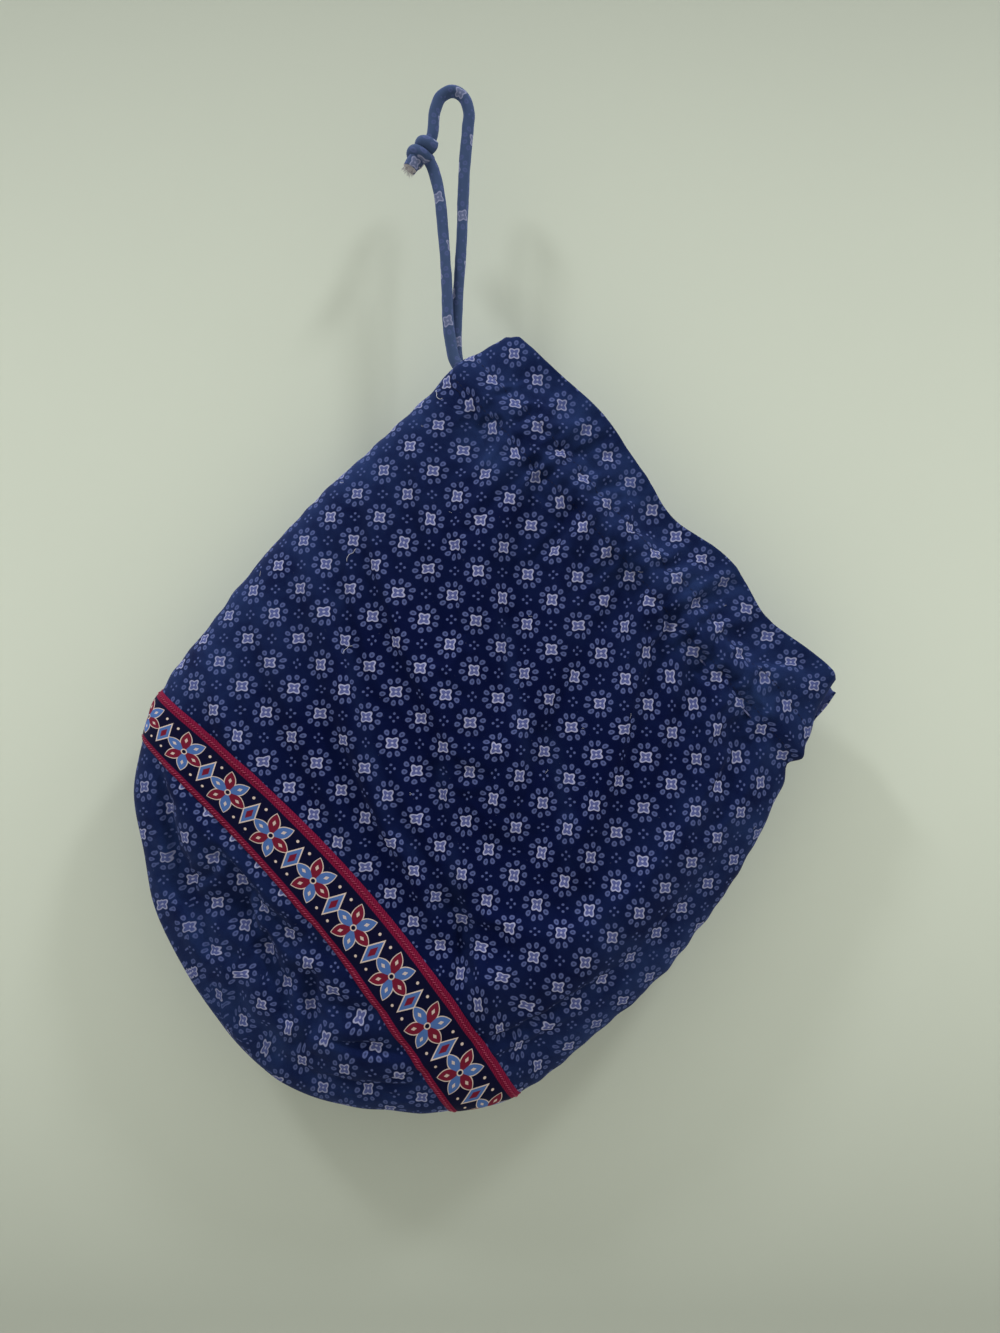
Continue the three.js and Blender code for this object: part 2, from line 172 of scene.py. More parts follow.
# The knot: both ends tied round each other, with short tails that were cut off and have frayed.
KNOT_WRAP_START = (-14.6, -0.6, -32.6)
KNOT_WRAP_END = (-23.2, -0.2, -42.2)
KNOT_WRAP_RADIUS = 4.7
KNOT_WRAP_TURNS = 1.7
KNOT_WRAP_FROM = 0.6
KNOT_CORE_PAST = (3, 1.5)
KNOT_SWELL = 1.16
KNOT_TAILS = [
    [(-20.5, -2.2, -39.5), (-23.6, -3.4, -43.2), (-25.6, -3.9, -46.2), (-27, -4.1, -49)],
    [(-21, 2.4, -38.5), (-24.6, 3.4, -41.8), (-27, 3.8, -44.2), (-28.6, 4, -46)],
]
KNOT_STEP = 0.7
FRAY_COUNT = 22
FRAY_LENGTH = 3.2
FRAY_LENGTH_SHARES = (0.4, 1)
FRAY_PLACE_SHARES = (0.3, 0.95)
FRAY_LEAN = 0.1
FRAY_MOST_CURL = 0.5
FRAY_RADIUS = 0.13

# Sharper creases: the places that one passes through, its width, its depth along the line, and how
# far the cloth steps up on one side of it and down on the other.
CREASES = {
    FRONT: [
        ([(-101, 200), (-74, 215), (-53, 226), (-15, 246), (5, 256), (26, 265), (48, 267), (68, 272),
          (83, 279)], 7, -2.4, 3.0),
        ([(21, 222), (41, 237), (62, 250), (82, 265), (103, 277), (128, 296)], 7, -2.2, -3.6),
        ([(-22, 131), (15, 156), (54, 179)], 9, -2.2, 3.0),
        ([(51, 157), (91, 181), (120, 206)], 8, -1.6, -2.4),
        ([(109, 92), (132, 122)], 9, -2.2, 1.0),
        ([(137, 210), (170, 219)], 9, -2.0, 1.8),
        ([(-97, 359), (-78, 369), (-60, 381), (-39, 394), (-19, 400), (5, 410)], 7, -3.0, 4.2),
        ([(-28, 361), (8, 365), (25, 362), (39, 364)], 6, -4.0, 3.2),
        ([(29, 376), (46, 381), (57, 383), (71, 393)], 6, -3.4, -3.8),
        ([(-29, 383), (-25, 372), (-31, 361)], 6, -3.0, 3.4),
        ([(2, 369), (17, 376)], 5, -2.6, -2.8),
        ([(63, 371), (78, 384)], 6, -3.0, 3.2),
        ([(86, 402), (84, 387)], 6, -2.8, -2.8),
        ([(87, 426), (114, 416)], 6, -1.6, 1.6),
        ([(43, 66), (51, 32), (56, 7)], 5, -3.2, -2.4),
        ([(-86, 58), (-80, 108)], 7, -2.0, 0.9),
        ([(-42, 58), (-34, 92)], 7, -2.2, -0.9),
        ([(10, 52), (20, 84)], 7, -2.2, 0.9),
        ([(84, 52), (96, 84)], 7, -2.0, -0.8),
        ([(122, 44), (126, 76)], 9, -1.8, 0.5),
        ([(-132, 22), (-118, 74)], 6, -1.6, 0.7),
        ([(-31, 17), (-34, 40)], 7, -1.8, 0.5),
        ([(131, 8), (128, 34)], 6, -2.0, 0.6),
        ([(-118, 290), (-64, 312)], 9, 1.6, 1.4),
        ([(20, 400), (52, 424)], 6, -2.0, 1.4),
    ],
    BACK: [
        ([(-96, 58), (-84, 112)], 8, -2.2, 0.9),
        ([(-40, 56), (-30, 104)], 8, -2.2, -0.9),
        ([(24, 54), (38, 108)], 8, -2.4, 0.9),
        ([(92, 54), (112, 96)], 8, -2.0, -0.8),
        ([(-104, 190), (-30, 236), (60, 252)], 9, -2.2, 2.4),
        ([(30, 150), (104, 206), (150, 250)], 9, -2.0, -2.4),
        ([(-60, 362), (10, 372), (70, 366)], 7, -2.4, 2.0),
        ([(40, 384), (84, 412)], 6, -2.0, -1.8),
        ([(-70, 380), (-20, 404)], 6, -2.0, 1.8),
    ],
}
# How steeply a crease's step rises on one side of its line and falls on the other.
CREASE_STEEPNESS = 1.65
# Short puckers along the two sewn lines of the cord's channel.
PUCKER_REACH = (-142, 150)
PUCKER_SPACING = 14.0
PUCKER_WIDTH = 3.4
PUCKER_DEPTHS = (0.7, 1.9)
PUCKER_STEP = 0.9
# The fine gathers beside the cord, and the sewn channel that it runs in.
GATHER_PITCH = 15.0
GATHER_WANDER = 0.55
GATHER_WANDER_SIZE = (30, 60)
GATHER_STRENGTH = 0.6
GATHER_STRENGTH_SIZE = (24, 80)
GATHER_REACH = 46.0
CORD_GATHER = 0.6
CORD_GATHER_FROM = 2
CORD_HALF_WIDTH = 6
CHANNEL_HALF_WIDTH = 11.0
STITCH_DIP = 0.5
STITCH_DIP_WIDTH = 2.2
# The crumples' size along and across the way the cloth hangs, for how they drift and for two sorts
# of them, how strong each of these is, and where the crumples begin under the cord.
CRUMPLE_DRIFT_SIZE = (110, 90)
CRUMPLE_BROAD_SIZE = (95, 34)
CRUMPLE_RIDGED_SIZE = (60, 26)
CRUMPLE_DRIFT = 0.35
CRUMPLE_BROAD = 0.7
CRUMPLE_RIDGED = 0.6
CRUMPLE_FROM = (CASING_DOWN + 10, CASING_DOWN + 60)
# The border band is stiff with its sewing, so folds and sagging hardly reach into it.
BAND_CALM = 0.85
BAND_CALM_ROWS = 0.62

# How much further apart the mesh's rows may be along the seam than straight down the cloth.
SEAM_STEP = 1.75

# How the loose cloth settles: it is held along its seams and along the cord, and its middle has a
# little more cloth than the outline takes up, so that it sags and buckles there.
SETTLE_FRAMES = 24
SETTLE_SPARE = 0.1
SETTLE_LIMIT = 4.5
SETTLE_GRAVITY = 0.25
SAG_REACH = 7
HELD_SHARES = (0.84, 0.97)
HELD_BOTTOM_ROWS = (BOTTOM_ROW - 2, BOTTOM_ROW - 0.5)
CORD_HOLD_ROWS = 0.22
SPARE_SHARES = (0.5, 0.97)
SPARE_BOTTOM_ROWS = (BOTTOM_ROW - 4, BOTTOM_ROW - 0.7)
CALM_SHARES = (0.6, 0.9)
CALM_BOTTOM_ROWS = (BOTTOM_ROW - 5, BOTTOM_ROW - 1.5)
CALM_MOUTH_ROWS = (-0.8, 1.4)

# Where painted edge light pales the cotton: along its seams, round its mouth and at its bottom. The creases
# are faded too, by real wear.
EDGE_LIGHT_SHARES = (0.3, 1.0)
MOUTH_LIGHT_ROWS = (1.0, 5.0)
BOTTOM_LIGHT_ROWS = (BAND_TOP_ROW - 1, BOTTOM_ROW - 2)
# Rubbed places over the ends of the cord's channel: across, down and width.
RUBBED = [(-126, 66, 13), (-104, 70, 9), (120, 48, 14), (52, 30, 10)]
RUBBED_WEAR = 0.9
CREASED_STEP = 2.0
CREASED_WIDTH = 5.0
CREASED_WEAR = 0.3

# How far the band stands off the cloth at its edges, and how much further in its middle.
BAND_LIFT = 0.2
BAND_CROWN = 0.5

# The casing strips: how far across they reach, how far in from the cloth their edges lie, how much
# further in they arch over the cord, and how thick they are beside the cloth.
STRIP_REACH = 0.63
STRIP_INSET = 1.8
STRIP_ARCH = 7.6
STRIP_THICKNESS = 0.6
STRIP_ROWS = 20
STRIP_COLUMNS = 90

# The cord is a tube of cotton cut on the bias. Its print starts at another place on each strand.
BIAS = math.radians(33)
TUBE_PRINT_START = 0.004
TUBE_PRINT_DRIFT = 1.7
STRAND_PRINT_SHIFT = 0.0075
KNOT_PRINT_SHIFT = 0.006
# How far the tube is out of round, as a share of its radius, and over what length.
TUBE_UNEVEN = 0.05
TUBE_TWIST_LENGTH = 55.0
TUBE_PUCKER_LENGTH = 7.0
TUBE_DENT_LENGTH = 19.0

# A stitch's size, the pitch and slant of the sewn lines, and the rows of the cloth that they run along.
STITCH_LENGTH = 2.5
STITCH_WIDTH = 0.5
STITCH_HEIGHT = 0.4
STITCH_PITCH = 3.3
BORDER_STITCH_PITCH = 2.1
BORDER_STITCH_SLANT = 0.7
BORDER_STITCH_ROWS = (BAND_TOP_ROW + 0.065, BAND_BOTTOM_ROW - 0.056)
CASING_STITCH_ROWS = (CASING_ROW - 0.58, CASING_ROW + 0.52)
CASING_STITCH_ENDS = slice(3, -3)
BORDER_STITCH_LIFT = 1.15
STITCH_SHIFT = 0.15
STITCH_TILT = 0.05

# Loose threads by their place (across, down), length and colour, and how many bits of lint a panel has.
LOOSE_THREADS = [
    (-113, 181, 13, "pale"), (-72, 219, 11, "pale"), (-158, 60, 16, "navy"), (-153, 64, 12, "pale"),
]
LINT_COUNT = 16
LINT_LENGTHS = (1.5, 5)
LINT_EDGE = 8
LINT_BOTTOM_EDGE = 12
LINT_RADIUS = 0.08
THREAD_RADIUS = 0.16
THREAD_STRIDES = 8
THREAD_CURL = 0.5

# The cotton's print, in metres: a ring of petals round a lobed centre, and a sprig of four dots between.
ROSETTE_SPACING = 0.0225
ROSETTE_PETALS = 10
PETAL_RING = 0.0073
PETAL_HALF_LENGTH = 0.0018
PETAL_HALF_WIDTH = 0.00145
PETAL_FLARE = 0.0002
PETAL_EDGE = 0.3
PETAL_HOLLOW = 0.42
PETAL_HOLLOW_EDGE = 0.4
PETAL_HOLLOW_DEPTH = 0.7
SPRIG_PLACE = 0.0016
SPRIG_DOT = 0.00075
CENTRE_RADIUS = 0.0036
CENTRE_LOBE_COUNT = 4.0
CENTRE_LOBE_DEPTH = 0.0008
CENTRE_OUTLINE = 0.0010
CENTRE_DOT = 0.0007
PRINT_BLUR = 0.0004
REVERSE_PRINT_STRENGTH = 0.45
CORD_PRINT_STRENGTH = 0.62

# The border's print, in metres: six-petalled rosettes, lozenges and dots, and a stripe along each edge.
BORDER_PETAL_TURN = 2 * math.pi / 6
BORDER_PETAL_REACH = 0.0150
BORDER_PETAL_HALF_WIDTH = 0.0040
BORDER_OUTLINE = 0.00055
BORDER_PIP = (0.0019, 0.0011)
BORDER_PIP_PLACE = 0.56
BORDER_PIP_STRENGTH = 0.85
BORDER_PIP_EDGE = 0.15
BORDER_RING = 0.0021
BORDER_RING_FILL = 0.0014
LOZENGE = (0.0052, 0.0105)
LOZENGE_FILL = 0.84
LOZENGE_HEART = 0.42
LOZENGE_EDGE = 0.05
LOZENGE_HEART_EDGE = 0.06
BORDER_DOT = 0.0009
BORDER_DOT_PLACE = (0.0052, 0.0098)
BORDER_BLUR = 0.0003
UPPER_STRIPE = 0.0052
LOWER_STRIPE = 0.0045
STRIPE_STRAND = 0.0018
STRIPE_SLANT = 0.8
STRIPE_FLECK_SCALE = 700
STRIPE_FLECK = 0.9

# The cotton's weave: the thread's width in metres, and how many patches of each sort go to the metre.
WEAVE_THREAD = 0.00055
SLUB_SCALE = 900
DYE_SCALE = 26
DYED_THREAD_SCALE = 1400
LINT_SCALE = 420
STRAND_SCALE = 1500
# How high the weave and its slubs stand, how uneven the dye is, how much lint shows, and how much fading
# and painted edge light show.
WEAVE_BUMP = 0.35
WEAVE_DEPTH = 0.0003
WEAVE_HEIGHT = 0.35
SLUB_HEIGHT = 0.5
LEAST_HEIGHT = 0.3
DYE_CONTRAST = 2.2
DYED_THREAD_CONTRAST = 0.5
LINT_FROM = 0.69
LINT_EDGE_WIDTH = 0.05
LINT_STRENGTH = 0.16
LEAST_WEAR = 0.03
MOST_WEAR_AND_LIGHT = 0.27
# How rough the cotton and the threads are at least, and how much rougher they get in places.
COTTON_ROUGHNESS = 0.76
COTTON_ROUGHNESS_RANGE = 0.12
THREAD_ROUGHNESS = 0.55
THREAD_ROUGHNESS_RANGE = 0.2

# The lights stand at both sides, in front and behind, and shine at the bag. Lengths are in metres.
LIGHT_AIM = np.array([0.02, 0.0, -0.35])
LIGHT_DIRECTION = (0.495, 0.381, 0.781)
LIGHT_DISTANCE = 3
LIGHT_SIZE = 0.42
LIGHT_PLACES = (("front", -1, 1.0), ("behind", 1, 0.6))
# How near to straight in front the room's light begins to dim, and over how much it fades out.
FRONT_SHADE_FROM = 0.45
FRONT_SHADE_EDGE = 0.5
# The size of the floor and the backdrop, and the patches in their colour.
STAGE_SIZE = 8
STAGE_MOTTLE_SCALE = 3
STAGE_MOTTLE = 0.94
# The backdrop's painted shade: the height at which it is palest, how far above or below that it is painted
# darkest, in metres, and the share of its colour left there.
BACKDROP_LIT_HEIGHT = -0.33
BACKDROP_SHADE_REACH = 0.49
BACKDROP_DEEPEST_SHADE = 0.6


def linear(red, green, blue):
    """A colour read in 0 to 255 steps, as the shader's linear numbers."""
    def channel(step):
        share = step / 255
        return share / 12.92 if share <= 0.04045 else ((share + 0.055) / 1.055) ** 2.4
    return channel(red), channel(green), channel(blue), 1.0


# Colours of fading with painted edge light, lint, sheen, threads and the room.
FADED_AND_EDGE_LIT = linear(45, 66, 116)
BORDER_FADED = linear(52, 42, 70)
LINT_COLOUR = linear(150, 154, 180)
SHEEN = linear(170, 180, 225)
NAVY_THREAD = ("navy_thread", linear(3, 6, 36), linear(10, 15, 52))
PALE_THREAD = ("pale_lint", linear(206, 206, 214), linear(150, 152, 176))
FRAYED_THREAD = ("frayed_cut", linear(196, 190, 182), linear(96, 98, 132))
CRIMSON_THREAD_PALE = linear(172, 76, 104)
ROOM_LIGHT = linear(240, 241, 236)
ROOM_DARK = linear(0, 0, 0)
ROOM_SEEN = linear(206, 210, 198)


def dimmed(colour, share):
    """A colour's linear numbers made that much weaker."""
    return tuple(share * channel for channel in colour[:3]) + (1.0,)


def colour_property(name, description, red, green, blue):
    return FloatVectorProperty(
        name=name, description=description, subtype="COLOR", size=4, min=0, max=1,
        default=linear(red, green, blue))


def length_property(name, description, millimetres):
    return FloatProperty(
        name=name, description=description, default=millimetres * MM, unit="LENGTH", precision=5)


class BagClothSettings(bpy.types.PropertyGroup):
    """The cotton and its folds."""
    thickness: length_property("Thickness", "Thickness of the cotton walls", 1.2)
    step: length_property("Step", "Distance between the rows of the cloth's mesh", 2.0)
    columns: IntProperty(name="Columns", description="Columns of the cloth's mesh", default=212, min=20)
    gather_depth: length_property("Gather depth", "Depth of the fine gathers at the casing", 1.5)
    crumple_depth: length_property("Crumple depth", "Depth of the soft crumples all over", 1.3)
    channel_rise: length_property("Channel rise", "How far the cord's channel stands out", 0.7)
    band_thickness: length_property("Band thickness", "Thickness of the sewn border band", 0.8)


class BagPrintSettings(bpy.types.PropertyGroup):
    """The printed cotton's colours and scale."""
    ground: colour_property("Ground", "Navy ground of the cotton", 1, 7, 48)
    petal: colour_property("Petals", "Ring of petals of a rosette", 80, 90, 138)
    centre: colour_property("Centre", "Pale centre of a rosette", 158, 160, 194)
    heart: colour_property("Heart", "Inside of a rosette's centre", 82, 88, 140)
    reverse: colour_property("Reverse", "Ground of the cotton's wrong side", 58, 66, 112)
    cord: colour_property("Cord", "Ground of the drawstring's cotton, faded by handling", 61, 77, 111)
    spacing: length_property("Spacing", "From one rosette to the next in a row", ROSETTE_SPACING / MM)
    row_spacing: length_property(
        "Row spacing", "From one row of rosettes to the next", ROSETTE_SPACING / MM)


class BagBorderSettings(bpy.types.PropertyGroup):
    """The border band's colours and scale."""
    ground: colour_property("Ground", "Dark ground of the band", 6, 9, 40)
    edge: colour_property("Edge", "Edge stripes of the band", 98, 8, 41)
    warm_petal: colour_property("Warm petals", "Every other petal of a rosette", 108, 24, 46)
    cool_petal: colour_property("Cool petals", "The petals between them", 72, 104, 164)
    outline: colour_property("Outline", "Pale outlines of the band's print", 206, 188, 180)
    thread: colour_property("Thread", "Topstitching along the band", 142, 34, 68)
    width: length_property("Width", "Flat width of the band", 40)
    unit: length_property("Unit", "From one rosette of the band to the next", 38)


class BagCordSettings(bpy.types.PropertyGroup):
    """The drawstring, a tube of the same cotton."""
    diameter: length_property("Diameter", "Thickness of the fabric tube", 7.4)
    step: length_property("Step", "Distance between the rings of the tube's mesh", 1.2)
    sides: IntProperty(name="Sides", description="Sides of the tube's mesh", default=20, min=6)


class BagStageSettings(bpy.types.PropertyGroup):
    """Camera, lights, floor and backdrop."""
    eye: FloatVectorProperty(
        name="Eye", description="Where the camera stands", default=(0.0312, -0.6546, -0.3708),
        subtype="XYZ", unit="LENGTH")
    lens: FloatProperty(name="Lens", description="Focal length in millimetres", default=27.19, min=1)
    backdrop: colour_property("Backdrop", "Pale wall behind the bag", 214, 221, 209)
    floor: colour_property("Floor", "Pale floor", 172, 170, 160)
    floor_height: length_property("Floor height", "Height of the floor", -950)
    backdrop_depth: length_property("Backdrop depth", "How far behind the peg the backdrop stands", 45)
    key_power: FloatProperty(
        name="Light power", description="Power of each soft light in front", default=26, unit="POWER")
    world_strength: FloatProperty(
        name="World", description="Strength of the pale light all round", default=1.82)
    front_shade: FloatProperty(
        name="Front shade", description="How much less light comes from straight in front",
        default=0.85, min=0, max=1)
    low_shade: FloatProperty(
        name="Low shade", description="How much less light comes from straight below",
        default=0.85, min=0, max=1)


# Smooth curves and noise.

def smooth_step(value, low, high):
    share = np.clip((value - low) / (high - low), 0, 1)
    return share * share * (3 - 2 * share)


def curve_between(start, end, leaving, arriving, share):
    """Places on the curve from start to end that leaves and arrives with the given slopes."""
    cubic = 2 * start - 2 * end + leaving + arriving
    square = -3 * start + 3 * end - 2 * leaving - arriving
    return ((cubic * share + square) * share + leaving) * share + start


def smooth_rows(table, position):
    """Rows of a table at fractional positions, on a smooth curve through all of them."""
    last = len(table) - 1
    index = np.clip(np.floor(position).astype(int), 0, last - 1)
    share = (position - index)[..., None]
    before, start = table[np.maximum(index - 1, 0)], table[index]
    end, after = table[index + 1], table[np.minimum(index + 2, last)]
    return curve_between(start, end, (end - before) / 2, (after - start) / 2, share)


def smooth_route(points, step):
    """Evenly spaced points on a smooth curve through the given ones."""
    points = np.array(points, dtype=float)
    padded = np.vstack([2 * points[0] - points[1], points, 2 * points[-1] - points[-2]])
    share = np.linspace(0, 1, 40, endpoint=False)[:, None]
    pieces = []
    for first, start, end, last in zip(padded, padded[1:], padded[2:], padded[3:]):
        before = np.linalg.norm(start - first) ** 0.5
        along = np.linalg.norm(end - start) ** 0.5
        after = np.linalg.norm(last - end) ** 0.5
        middle = (end - start) / along
        leaving = along * ((start - first) / before - (end - first) / (before + along) + middle)
        arriving = along * (middle - (last - start) / (along + after) + (last - end) / after)
        pieces.append(curve_between(start, end, leaving, arriving, share))
    dense = np.vstack([*pieces, points[-1:]])
    return evenly(dense, step)


def run_length(points):
    """Distance along a line of points, from its first point to each of them."""
    steps = np.linalg.norm(np.diff(points, axis=0), axis=1)
    return np.concatenate([[0], np.cumsum(steps)])


def rows_at(spots, along, table):
    """Rows of a table at some distances along a line, where along gives each row's own distance."""
    return np.stack([np.interp(spots, along, column) for column in table.T], axis=1)


def evenly(points, step):
    along = run_length(points)
    spots = np.linspace(0, along[-1], max(2, round(along[-1] / step) + 1))
    return rows_at(spots, along, points)


def unit_vectors(vectors):
    return vectors / np.maximum(np.linalg.norm(vectors, axis=-1, keepdims=True), 1e-12)


def cloth_noise(x, y, seed):
    """Smooth noise from about -1 to 1 over a plane, the same on each run."""
    random = np.random.default_rng(seed)
    shuffled = random.permutation(256)
    angles = random.uniform(0, 2 * np.pi, 256)
    column, row = np.floor(x).astype(int), np.floor(y).astype(int)
    right, up = x - column, y - row

    def corner(over, above):
        angle = angles[shuffled[(shuffled[(column + over) % 256] + row + above) % 256]]
        return np.cos(angle) * (right - over) + np.sin(angle) * (up - above)

    ease_right = right ** 3 * (right * (6 * right - 15) + 10)
    ease_up = up ** 3 * (up * (6 * up - 15) + 10)
    low = corner(0, 0) * (1 - ease_right) + corner(1, 0) * ease_right
    high = corner(0, 1) * (1 - ease_right) + corner(1, 1) * ease_right
    return 1.4 * (low * (1 - ease_up) + high * ease_up)


# The hanging cloth.

def to_world(points):
    """Places in the bag's own frame, in millimetres, as places in the part's frame, in metres."""
    across, away, up = np.moveaxis(points, -1, 0)
    cosine, sine = math.cos(HANG_TURN), math.sin(HANG_TURN)
    turned = np.stack([cosine * across + sine * up, away, cosine * up - sine * across], axis=-1)
    return (turned + MOUTH_MIDDLE) * MM


def mouth_rise(across):
    """How far the wavy mouth edge rises at each place across."""
    places, rises = MOUTH_WAVES[:, 0], MOUTH_WAVES[:, 1:]
    position = np.interp(across, places, np.arange(len(places)))
    return smooth_rows(rises, position)[..., 0]


def off_line(start, end, across, down):
    """Distance from each place to the line between two places on the cloth."""
    along = np.subtract(end, start)
    share = ((across - start[0]) * along[0] + (down - start[1]) * along[1]) / (along @ along)
    share = np.clip(share, 0, 1)
    return np.hypot(across - start[0] - share * along[0], down - start[1] - share * along[1])


def main_folds(side, across, down):
    """The folds and gathers that the part's solids have too."""
    off_cord = smooth_step(np.abs(down - CASING_DOWN), GATHER_STILL, GATHER_FULL)
    fading = 1 - smooth_step(down, GATHER_FADE_FROM, GATHER_FADE_TO)
    gathers = sum(depth * np.exp(-(((across - place) / width) ** 2)) for place, width, depth in GATHERS)
    folds = sum(
        depth * np.exp(-((off_line(start, end, across, down) / width) ** 2))
        for start, end, width, depth in FOLDS[side])
    return off_cord * fading * gathers + folds


def on_band(rows):
    """How much calmer the cloth is at each row: most on the border band."""
    middle = (BAND_TOP_ROW + BAND_BOTTOM_ROW) / 2
    return BAND_CALM * np.exp(-(((rows - middle) / BAND_CALM_ROWS) ** 4))


def puckers(side):
    """Creases across the channel's sewn lines, where the gathered cloth bunches up."""
    random = np.random.default_rng(SEEDS["puckers"] + side)
    bunched = []
    for down in (CASING_DOWN - CHANNEL_HALF_WIDTH, CASING_DOWN + CHANNEL_HALF_WIDTH):
        for across in np.arange(*PUCKER_REACH, PUCKER_SPACING):
            top = across + random.normal(0, 3), down - random.uniform(2, 5)
            bottom = top[0] + random.normal(0, 4), down + random.uniform(4, 10)
            step = PUCKER_STEP * random.choice([-1, 1])
            bunched.append(([top, bottom], PUCKER_WIDTH, -random.uniform(*PUCKER_DEPTHS), step))
    return bunched


def off_crease(points, across, down):
    """How far each place is from a crease, and how far to one side of its line."""
    nearest = np.full(np.broadcast(across, down).shape, np.inf)
    signed = nearest.copy()
    for start, end in zip(points, points[1:]):
        away = off_line(start, end, across, down)
        along = np.subtract(end, start)
        aside = (along[0] * (down - start[1]) - along[1] * (across - start[0])) / np.hypot(*along)
        closer = away < nearest
        nearest = np.where(closer, away, nearest)
        signed = np.where(closer, aside, signed)
    return nearest, signed


def crease(points, width, depth, step, across, down):
    """How far one crease moves the cloth at each place."""
    nearest, signed = off_crease(points, across, down)
    falling = np.exp(-((nearest / width) ** 2))
    return falling * (depth + step * CREASE_STEEPNESS * signed / width)


def fine_folds(side, across, down, cloth):
    """The casing's channel, the fine gathers beside it, and crumples along the way the cloth hangs."""
    off_cord = np.abs(down - CASING_DOWN)
    channel = cloth.channel_rise / MM * np.exp(-((off_cord / CORD_HALF_WIDTH) ** 4))
    sewn_dip = -STITCH_DIP * np.exp(-(((off_cord - CHANNEL_HALF_WIDTH) / STITCH_DIP_WIDTH) ** 2))

    def uneven(first, second, size, seed):
        return cloth_noise(first / size[0], second / size[1], SEEDS[seed] + side)

    wander = GATHER_WANDER * uneven(across, down, GATHER_WANDER_SIZE, "gather_wander")
    phase = 2 * np.pi * (across / GATHER_PITCH + wander)
    off_channel = smooth_step(off_cord, CORD_GATHER_FROM, CHANNEL_HALF_WIDTH)
    over_cord = CORD_GATHER + (1 - CORD_GATHER) * off_channel
    near = np.exp(-((off_cord / GATHER_REACH) ** 2)) * over_cord
    varied = uneven(across, down, GATHER_STRENGTH_SIZE, "gather_strength")
    strength = GATHER_STRENGTH + GATHER_STRENGTH * varied
    gathers = cloth.gather_depth / MM * near * strength * np.cos(phase)

    hanging = across * math.sin(HANG_TURN) + down * math.cos(HANG_TURN)
    level = across * math.cos(HANG_TURN) - down * math.sin(HANG_TURN)

    def crumpled(size, move_along, move_aside, seed):
        return cloth_noise(hanging / size[0] + move_along, level / size[1] + move_aside, SEEDS[seed] + side)

    drift = CRUMPLE_DRIFT * uneven(hanging, level, CRUMPLE_DRIFT_SIZE, "crumple_drift")
    broad = crumpled(CRUMPLE_BROAD_SIZE, drift, drift, "crumple_broad")
    ridged = 0.5 - np.abs(crumpled(CRUMPLE_RIDGED_SIZE, drift, -drift, "crumple_ridged"))
    below = smooth_step(down, *CRUMPLE_FROM)
    crumples = cloth.crumple_depth / MM * below * (CRUMPLE_BROAD * broad + CRUMPLE_RIDGED * ridged)
    creases = sum(crease(*each, across, down) for each in [*CREASES[side], *puckers(side)])
    return channel + sewn_dip + gathers + crumples + creases


